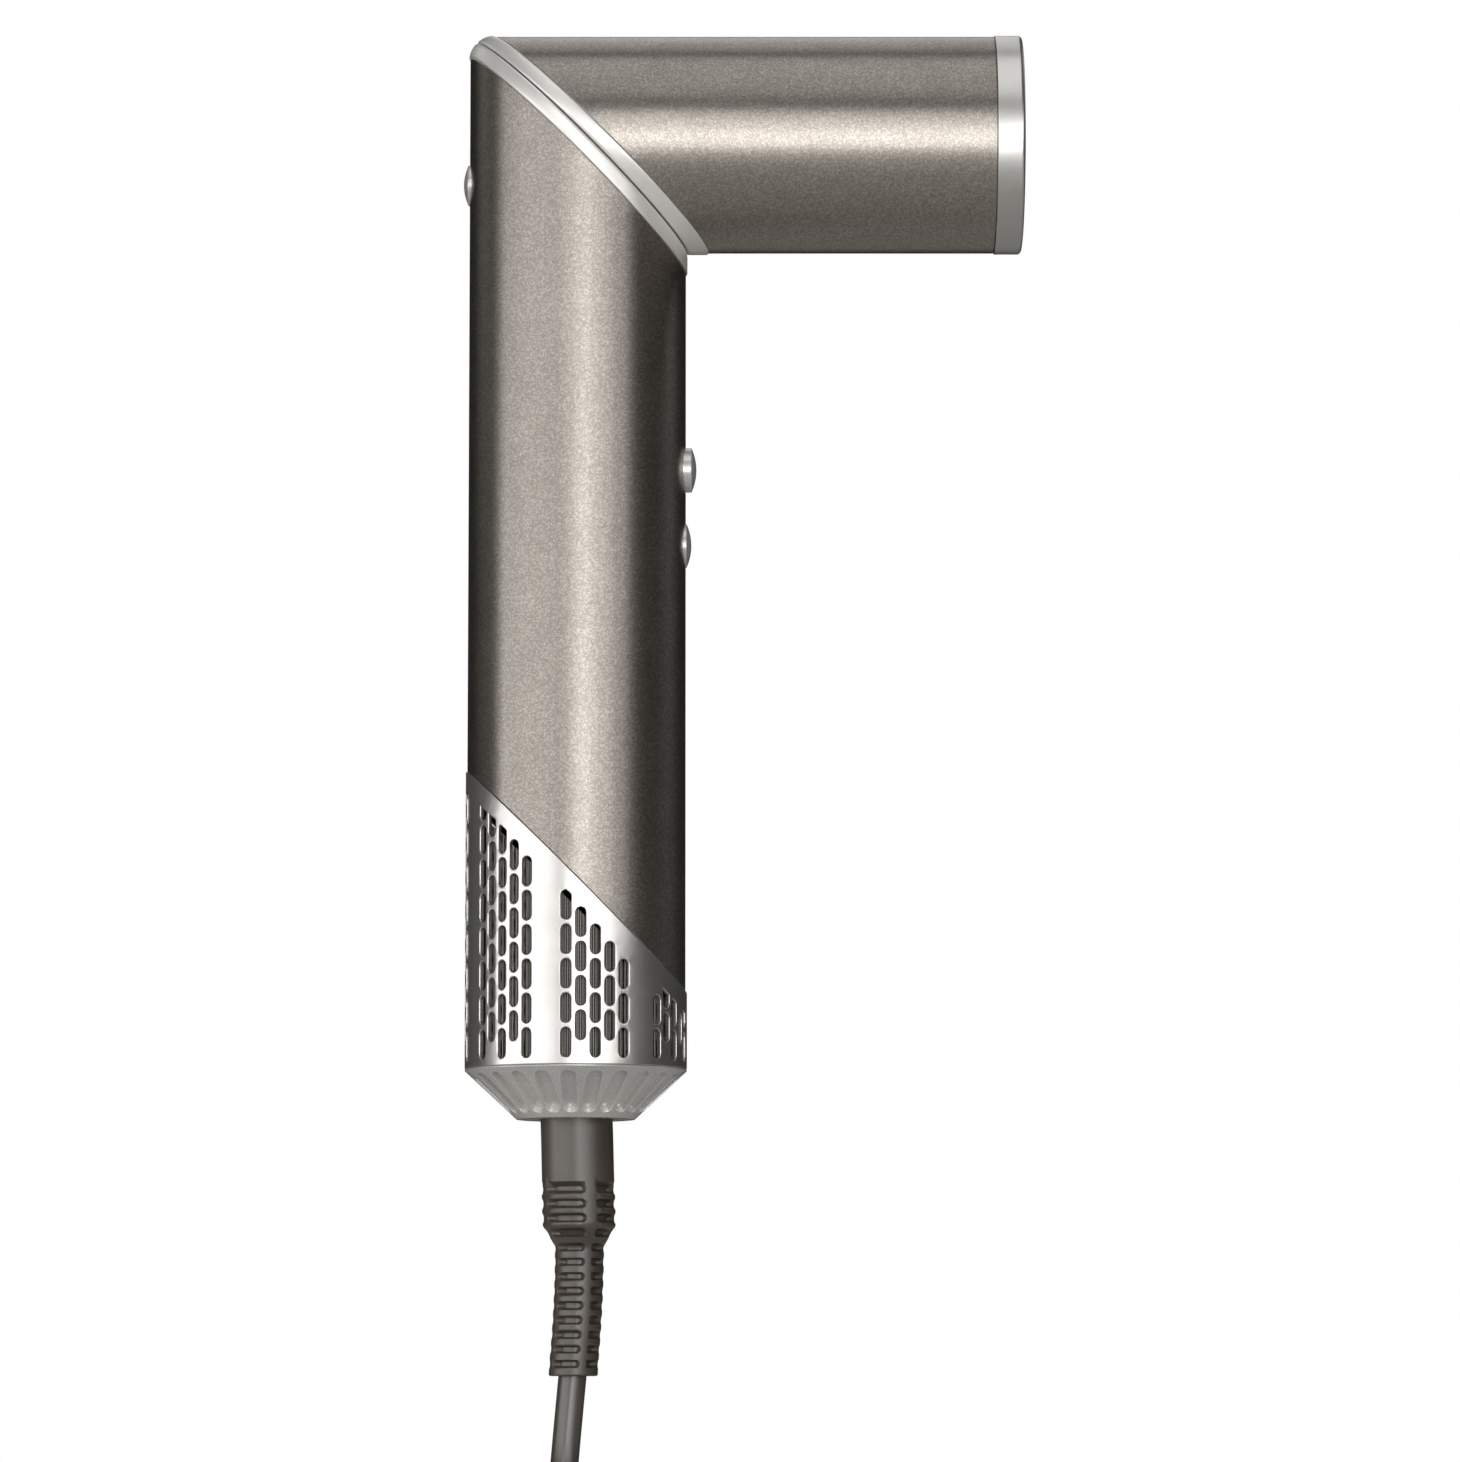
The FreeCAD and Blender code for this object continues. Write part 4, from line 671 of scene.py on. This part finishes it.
def cageOpenings():
    c = cageSet
    groups, columns = c["slots"]
    width, length, pitch = c["slotWidth"] * mm, c["slotLength"] * mm, c["slotPitch"] * mm
    girth = 2 * math.pi * cageRadius

    def ceiling(u):
        return cageHigh(u) - c["cutGap"] * math.sqrt(2) * mm

    openings = []
    for number in range(groups * columns):
        group, column = divmod(number, columns)
        degrees = c["slotPhase"] + group * 360 / groups + (column - (columns - 1) / 2) * c["slotAngle"]
        u = (cageRadius * math.radians(degrees - c["seam"])) % girth
        foot = levelOf(rim) + c["rimGap"] * mm + (column % 2) * pitch / 2
        while foot < ceiling(u) - width * 0.8:
            openings.append(longHole(u, foot + length / 2, length, width, 6, None, ceiling))
            foot += pitch
    return openings


cageMesh = sleeve(tubeLift(cageRadius, up, right, cageSet["seam"], None, cageHigh), 2 * math.pi * cageRadius,
                  cageLow, cageHigh, cageOpenings(), edgeRun(cageSet["edge"] * mm, cageSet["wall"] * mm),
                  [size * mm for size in cageSet["step"]], cageSet["edge"] * mm)
finish(cageMesh, "inletCage", silver, "handle", ("inlet_cage",), 35)
print("inlet cage made")

# Filter screen: a pleated mesh sleeve behind the slots.
screenSet = {"ribs": 150, "ribDepth": 0.16, "thickness": 0.4, "foot": 1.2, "drop": 4.2}


def filterScreen():
    bm = bmesh.new()
    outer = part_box("filter_screen")[1].y
    count = screenSet["ribs"] * 4
    foot = rim + screenSet["foot"] * mm
    rows = []
    for shift, top in ((0.0, False), (0.0, True), (screenSet["thickness"], True), (screenSet["thickness"], False)):
        row = []
        for i in range(count):
            a = 2 * math.pi * i / count
            ridge = screenSet["ribDepth"] if (i % 4 < 2) and not shift else 0.0
            radius = outer - (shift + ridge) * mm
            x = radius * math.sin(a)
            high = cageBox[1].z - cageRadius - x - screenSet["drop"] * mm * math.sqrt(2)
            row.append(bm.verts.new((x, -radius * math.cos(a), high if top else foot)))
        rows.append(row)
    for first, second in zip(rows, rows[1:] + rows[:1]):
        bridge(bm, first, second, True)
    return closed(bm)


# End cap: a hollow cone with upright recesses round it, a hole for the relief and a lip inside the cage.
# The reference radius is where the unrolled cone has its true width.
capSet = {"height": 9.8, "foot": 11.6, "fins": 24, "finWidth": 2.9, "finLength": 11.2, "finDepth": 1.2,
          "finFillet": 0.2, "seam": 4.8, "hole": 7.18, "lip": 1.1, "lipRadius": 20.75, "wall": 2.2, "edge": 0.18,
          "rim": 0.3, "reference": 17.0, "step": (1.0, 1.6)}


def endCap():
    c = capSet
    reference = c["reference"]
    rise, run = c["height"] - c["rim"], cageRadius / mm - c["foot"]
    slope = math.hypot(rise, run)
    base = Vector((0, 0, rim))

    def radiusAt(v):
        return c["foot"] + run * v / mm / slope

    def spot(angle, radius, height):
        angle += math.radians(c["seam"])
        return base + ((front * math.cos(angle) + right * math.sin(angle)) * radius + up * height) * mm

    def lift(u, v, depth):
        d = depth / mm
        return spot(u / mm / reference, radiusAt(v) - d * rise / slope, -c["height"] + rise * v / mm / slope
                    + d * run / slope)

    def tail(radius, height):
        return lambda u: spot(u / mm / reference, radius, height)

    girth = 2 * math.pi * reference * mm
    openings = [longHole(girth * (i + 0.5) / c["fins"], slope / 2 * mm, c["finLength"] * mm, c["finWidth"] * mm, 6,
                         lambda v: reference / radiusAt(v)) for i in range(c["fins"])]
    tails = ([tail(c["foot"] - 0.1, -c["height"]), tail(c["hole"] + 0.15, -c["height"]),
              tail(c["hole"], -c["height"] + 0.15), tail(c["hole"], -c["height"] + 1.2)],
             [tail(cageRadius / mm, -0.2), tail(cageRadius / mm - 0.12, -0.05), tail(c["lipRadius"], -0.05),
              tail(c["lipRadius"], c["lip"]), tail(c["lipRadius"] - 1, c["lip"]), tail(c["lipRadius"] - 1, -0.3),
              tail(c["foot"], -c["height"] + c["wall"]), tail(c["hole"] + 0.3, -c["height"] + c["wall"])])
    return sleeve(lift, girth, flatEdge(0.0), flatEdge(slope * mm), openings,
                  recessRun(c["edge"] * mm, c["finDepth"] * mm, c["finFillet"] * mm),
                  [size * mm for size in c["step"]], 0.02 * mm, tails)


finish(filterScreen(), "filterScreen", wovenSteel, "handle", ("filter_screen",), 30)
finish(endCap(), "endCap", plated, "handle", ("end_cap",), 35)
print("screen and end cap made")

# Strain relief: a rubber sleeve under the cap that necks down, with columns of short grooves. Bend is where its
# middle lies, as (across, drop).
reliefSet = {"bend": [(0.0, 90.0), (0.25, 95.0), (0.56, 107.7), (0.87, 119.4), (0.63, 129.1), (0.03, 138.8),
                      (-0.37, 142.7), (-0.45, 143.9)],
             "flange": 9.2, "wide": 7.08, "slim": 4.8, "neckFrom": 114.0, "neckTo": 119.4, "grooves": 13,
             "firstGroove": 107.6, "pitch": 2.83, "grooveHeight": 1.3, "grooveDepth": 1.6, "grooveBlend": 0.35,
             "spine": 22.0, "columns": 4, "columnWidth": 70.0, "bulge": 0.12, "bulgeReach": 0.8, "bulgeFrom": 107.0,
             "bulgeOver": 6.0, "hole": 3.0, "flangeHeight": 2.2, "segments": 144}


def between(stops, at):
    for (a, first), (b, second) in zip(stops, stops[1:]):
        if at <= second:
            return a + (b - a) * max(0.0, (at - first) / (second - first))
    return stops[-1][0]


def eased(amount):
    # 0 to 1 with a soft start and end
    amount = min(1.0, max(0.0, amount))
    return amount * amount * (3 - 2 * amount)


def strainRelief():
    r = reliefSet
    bm = bmesh.new()
    count = r["segments"]
    end = -reliefBox[0].z / mm
    flangeTop, flangeFoot = -reliefBox[1].z / mm, -reliefBox[1].z / mm + r["flangeHeight"]
    rows = [(flangeTop, 0.01), (flangeTop, r["flange"] - 0.2), (flangeTop + 0.2, r["flange"]),
            (flangeFoot - 0.2, r["flange"]), (flangeFoot, r["flange"] - 0.2), (flangeFoot, r["wide"])]
    drop = flangeFoot + 0.5
    while drop < end - 0.35:
        lean = eased((drop - r["neckFrom"]) / (r["neckTo"] - r["neckFrom"]))
        rows.append((drop, r["wide"] + (r["slim"] - r["wide"]) * lean))
        drop += 0.2 if drop > r["firstGroove"] - 1.2 else 1.0
    rows += [(end - 0.3, r["slim"]), (end - 0.1, r["slim"] - 0.1), (end, r["slim"] - 0.35), (end, r["hole"] + 0.2),
             (end - 0.15, r["hole"]), (end - 1.2, r["hole"]), (end - 1.2, 0.01)]
    made = []
    for drop, radius in rows:
        middle = sum(between(r["bend"], drop + shift) for shift in (-3, 0, 3)) / 3
        nearest = max(0, min(r["grooves"] - 1, round((drop - r["firstGroove"]) / r["pitch"])))
        away = abs(drop - r["firstGroove"] - nearest * r["pitch"])
        row = []
        for i in range(count):
            angle = 360 * i / count
            share = 360 / r["columns"]
            off = abs((angle - r["spine"]) % share - share / 2)
            half = r["grooveHeight"] / 2
            across = max(0.0, radius * math.radians(off) - (radius * math.radians(r["columnWidth"] / 2) - half))
            cut = bulge = 0.0
            if radius > r["hole"] + 0.5:
                cut = eased(0.5 + (half - math.hypot(across, away)) / r["grooveBlend"])
            if radius > r["bulgeOver"] and drop > r["bulgeFrom"]:
                bulge = r["bulge"] * eased(1 - abs(r["pitch"] / 2 - away) / r["bulgeReach"])
            size = radius - r["grooveDepth"] * cut + bulge * (1 - cut) * (across == 0.0)
            a = math.radians(angle)
            row.append(bm.verts.new(Vector((middle + size * math.sin(a), -size * math.cos(a), -drop)) * mm))
        made.append(row)
    for first, second in zip(made, made[1:]):
        bridge(bm, first, second, True)
    bm.faces.new(made[0])
    bm.faces.new(made[-1])
    return closed(bm)


finish(strainRelief(), "strainRelief", rubber, "handle", ("strain_relief",), 50)
print("strain relief made")

# Outlet: a bright ring on a collar that sits in the head, and a nylon grille behind it.
outletSet = {"edge": 0.8, "collar": 7.0, "collarEdge": 0.2, "stepEdge": 0.12, "inside": 19.65, "bore": 18.2,
             "boreEdge": 0.4}
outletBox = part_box("outlet_ring")


def outletRing():
    o = outletSet
    start, stop, radius = outletBox[0].x / mm, outletBox[1].x / mm, outletBox[1].y / mm
    step = start + o["collar"] + 0.05
    path = roundedPath([(o["bore"], start, 0), (o["inside"], start, o["collarEdge"]), (o["inside"], step, 0),
                        (radius, step, o["stepEdge"]), (radius, stop, o["edge"]),
                        (o["bore"], stop, o["boreEdge"])], 6)
    return closed(lathe(path, Vector((0, 0, pivot.z)), right, 192))


grilleSet = {"bar": 1.0, "rings": 3, "spokes": 8, "edge": 0.2}


def grille():
    g = grilleSet
    low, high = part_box("outlet_grille")
    start, stop, reach = low.x / mm, high.x / mm, high.y / mm
    base = Vector((0, 0, pivot.z))
    bm = bmesh.new()
    lathe(roundedPath([(0.01, start, 0), (2 * g["bar"], start, g["edge"]), (2 * g["bar"], stop, g["edge"]),
                       (0.01, stop, 0)]), base, right, 48, bm)
    for number in range(1, g["rings"] + 2):
        outer = reach * number / (g["rings"] + 1)
        lathe(roundedPath([(outer - g["bar"], start, g["edge"]), (outer, start, g["edge"]), (outer, stop, g["edge"]),
                           (outer - g["bar"], stop, g["edge"])], 3), base, right, 96, bm)
    for number in range(g["spokes"]):
        a = 2 * math.pi * number / g["spokes"]
        along, across = front * math.cos(a) + up * math.sin(a), up * math.cos(a) - front * math.sin(a)
        rows = [[bm.verts.new(base + (right * ((start + stop) / 2 + y) + along * distance + across * x) * mm)
                 for x, y in roundedRectangle(g["bar"], stop - start, g["edge"], 3)]
                for distance in (g["bar"], reach - g["bar"] / 2)]
        bridge(bm, rows[0], rows[1], True)
        bm.faces.new(rows[0])
        bm.faces.new(rows[1])
    return closed(bm)


finish(outletRing(), "outletRing", silver, "head", ("outlet_ring",), 40)
finish(grille(), "outletGrille", nylon, "head", ("outlet_grille",), 40)
print("outlet made")

# Push buttons: a domed cap on a stem, kept in by a flange inside the casing. Side 1 is the front.
buttonSet = {"stem": 2.0, "flange": 0.5, "flangeFrom": 3.0, "flangeHeight": 0.9, "crown": 0.5,
             "power": {"side": 1, "dome": 0.85, "bevel": 0.3, "radius": 4.4},
             "mode": {"side": 1, "dome": 0.9, "bevel": 0.12, "radius": 4.35},
             "lock": {"side": -1, "dome": 0.75, "bevel": 0.5, "radius": 4.1}}


def button(kind):
    b, node = buttonSet, kind + "_button"
    dome, bevel, radius = (b[kind][size] for size in ("dome", "bevel", "radius"))
    low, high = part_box(node)
    middle = middleOf(node)
    base = Vector((0, 0, middle.z))
    top = max(abs(low.x), abs(high.x)) / mm
    foot = min(abs(low.x), abs(high.x)) / mm
    seat = tubeRadius / mm - b["flangeFrom"]
    arc = b["crown"]
    crown = [(radius * math.sin(a) / math.sin(arc), (math.cos(a) - math.cos(arc)) / (1 - math.cos(arc)))
             for a in (arc * i / 8 for i in range(8, -1, -1))]
    edgeRadius = radius - bevel
    path = [(0.01, foot), (b["stem"] - 0.2, foot), (b["stem"], foot + 0.2), (b["stem"], seat - b["flangeHeight"]),
            (radius + b["flange"], seat - b["flangeHeight"]), (radius + b["flange"], seat), (radius, seat)]
    brim = top - dome
    path += [(radius - bevel * (1 - math.cos(math.radians(a))), brim - bevel * (1 - math.sin(math.radians(a))))
             for a in (0, 15, 30, 45, 60, 75)]
    path += [(max(0.01, x / radius * edgeRadius), brim + dome * y) for x, y in crown]
    mesh = closed(lathe(path, base, right * b[kind]["side"], 96))
    return finish(mesh, kind + "Button", plated, node, (node,), 50)


for kind in ("power", "mode", "lock"):
    button(kind)
print("buttons made")

# Tie: a soft strap round the hank's waist with a small buckle in front; buckle rows are (past the strap's
# edge, width, depth, corner).
tieSet = {"halfWidth": 11.45, "from": -8.95, "to": 19.35, "height": 9.0, "thickness": 1.2, "corner": 3.5,
          "edge": 0.3, "buckleProud": 0.9, "buckle": [(0.8, 4.6, 1.2, 0.5), (0.4, 5.4, 2.0, 0.9)]}


def tieBand():
    t = tieSet
    width, depth = 2 * t["halfWidth"], t["to"] - t["from"]
    place = hankMid + Vector((0, (t["to"] + t["from"]) / 2, 0)) * mm
    low, high, e, thick = -t["height"] / 2, t["height"] / 2, t["edge"], 2 * t["thickness"]
    profile = [(low + e, 0.0), (low, 2 * e), (low, thick - 2 * e), (low + e, thick), (high - e, thick),
               (high, thick - 2 * e), (high, 2 * e), (high - e, 0.0)]
    bm = loft([(z, width + grow, depth + grow, t["corner"] + grow / 2) for z, grow in profile], place, None, True)
    buckle = place + Vector((0, -(depth / 2 + t["thickness"] + t["buckleProud"]), 0)) * mm
    loft([(low - past, *size) for past, *size in t["buckle"]]
         + [(high + past, *size) for past, *size in t["buckle"][::-1]], buckle, bm)
    return closed(bm)


# Plug: a moulded body with a ribbed tail, and two flat blades with a thin tip.
plugSet = {"corner": 4.0, "edge": 1.6, "tail": 14.0, "tailFrom": 3.7, "tailTo": 5.5, "ribs": 6,
           "rib": ((0.1, 0.0), (1.5, 0.0), (1.6, 0.9), (2.2, 0.9)), "blade": (1.5, 6.3, 0.3),
           "bladeTip": [(0.0, 0.6, 4.6, 0.25), (0.7, 1.4, 6.0, 0.3)], "tipLength": 1.2}


def plug():
    p = plugSet
    low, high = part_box("plug_body")
    middle = (low + high) / 2
    width, depth = (high.x - low.x) / mm, (high.y - low.y) / mm
    place = Vector((middle.x, middle.y, low.z))
    top = (high.z - low.z) / mm
    shoulder = top - p["tail"]
    rows = []
    for a in (0, 30, 60, 90):
        s = p["edge"] * (1 - math.sin(math.radians(a)))
        rows.append((p["edge"] * (1 - math.cos(math.radians(a))), width - 2 * s, depth - 2 * s,
                     max(0.5, p["corner"] - s)))
    for a in (90, 60, 30, 0):
        s = 4 * p["edge"] * (1 - math.sin(math.radians(a)))
        rows.append((shoulder - p["edge"] * 1.5 * (1 - math.cos(math.radians(a))), width - 2 * s,
                     max(2 * p["tailTo"], depth - 2 * s), min(p["corner"] + s * 0.2, p["tailTo"] - 0.01)))
    for i in range(p["ribs"]):
        for shift, cut in p["rib"]:
            height = p["tail"] * i / p["ribs"] + shift
            size = p["tailTo"] + (p["tailFrom"] - p["tailTo"]) * height / p["tail"] - cut
            rows.append((shoulder + height, 2 * size, 2 * size, size - 0.01))
    rows.append((top, 2 * p["tailFrom"], 2 * p["tailFrom"], p["tailFrom"] - 0.01))
    return closed(loft(rows, place))


def blades():
    low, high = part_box("plug_blades")
    middle = (low + high) / 2
    bm = bmesh.new()
    tall = (high.z - low.z) / mm
    blade = plugSet["blade"]
    for side in (-1, 1):
        x = side * ((high.x - low.x) / 2 - blade[0] / 2 * mm)
        loft(plugSet["bladeTip"] + [(plugSet["tipLength"], *blade), (tall, *blade)],
             Vector((middle.x + x, middle.y, low.z)), bm)
    return closed(bm)


strap = finish(tieBand(), "tieStrap", tieStrap, "handle", ("cord_tie",), 40)
plugBody = finish(plug(), "plugBody", rubber, "handle", ("plug_body",), 40)
plugBlades = finish(blades(), "plugBlades", brassPlated, "handle", ("plug_blades",), 40)
curve.materials.append(cordPvc)
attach(mainsCord, "handle")
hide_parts("mains_cord", "cord_hank", "cord_end")
print("cord tied and plug made")

# the solids that stay get the finish of their slot
for node, item in frame["nodes"].items():
    item.data.materials.clear()
    item.data.materials.append(materialOfSlot[slotOfNode[node]])

floorSet = {"radius": 1500.0, "segments": 96, "below": 5.0}
floorMesh = bpy.data.meshes.new("floor")
disc = bmesh.new()
bmesh.ops.create_circle(disc, cap_ends=True, segments=floorSet["segments"], radius=floorSet["radius"] * mm)
disc.to_mesh(floorMesh)
disc.free()
floor = bpy.data.objects.new("floor", floorMesh)
bpy.context.scene.collection.objects.link(floor)
floor.location = (0, 0, cadBox[0].z - floorSet["below"] * mm)
floorMesh.materials.append(floorPaint)

bpy.context.scene.view_settings.view_transform = "Standard"
world = bpy.data.worlds.new("studio")
bpy.context.scene.world = world
world.use_nodes = True
# a white backdrop to the camera, and a dim grey room to everything else
room = {"grey": "#c8c8c8", "strength": 0.02}
sky = world.node_tree
sky.nodes.clear()
seen = addNode(sky, "ShaderNodeBackground", {"Color": (1, 1, 1, 1), "Strength": 1.0})
dim = addNode(sky, "ShaderNodeBackground", {"Color": linear(room["grey"]), "Strength": room["strength"]})
ray = addNode(sky, "ShaderNodeLightPath")
mix = addNode(sky, "ShaderNodeMixShader", None, at0=(ray, "Is Camera Ray"), at1=(dim, "Background"),
              at2=(seen, "Background"))
addNode(sky, "ShaderNodeOutputWorld", None, Surface=(mix, "Shader"))

# softboxes: (degrees from the front towards +X, degrees up, width in metres, height in metres, watts)
lightSet = {"leftWall": (-43, 2, 2.1, 1.2, 18.5), "rightWall": (24, 2, 1.5, 1.2, 15.6),
            "ceilingSheet": (0, 68, 1.2, 2.7, 13.0), "upperLeftBox": (-12, 19, 0.6, 0.5, 6.0),
            "middleStrip": (2, -3, 0.5, 0.9, 7.6), "lowBox": (12, -9, 0.5, 0.5, 4.0),
            "rightBox": (50, 10, 0.5, 0.5, 3.2), "leftRimBox": (-77, -4, 0.9, 0.8, 7.5),
            "backSheet": (180, 50, 0.8, 2.2, 5.0),
            "backLeft": (-125, 30, 0.9, 1.2, 2.2), "backRight": (125, 30, 0.9, 1.2, 2.2)}


def softbox(name, azimuth, height, width, tall, power, distance=2.5):
    # a flat area light about the pivot; azimuth runs from the front towards +X
    data = bpy.data.lights.new(name, "AREA")
    data.shape = "RECTANGLE"
    data.size, data.size_y, data.energy = width, tall, power
    item = bpy.data.objects.new(name, data)
    bpy.context.scene.collection.objects.link(item)
    a, h = math.radians(azimuth), math.radians(height)
    away = (front * math.cos(a) + right * math.sin(a)) * math.cos(h) + up * math.sin(h)
    item.location = pivot + away * distance
    item.rotation_euler = away.to_track_quat("Z", "Y").to_euler()


for name, settings in lightSet.items():
    softbox(name, *settings)
print("studio lit")
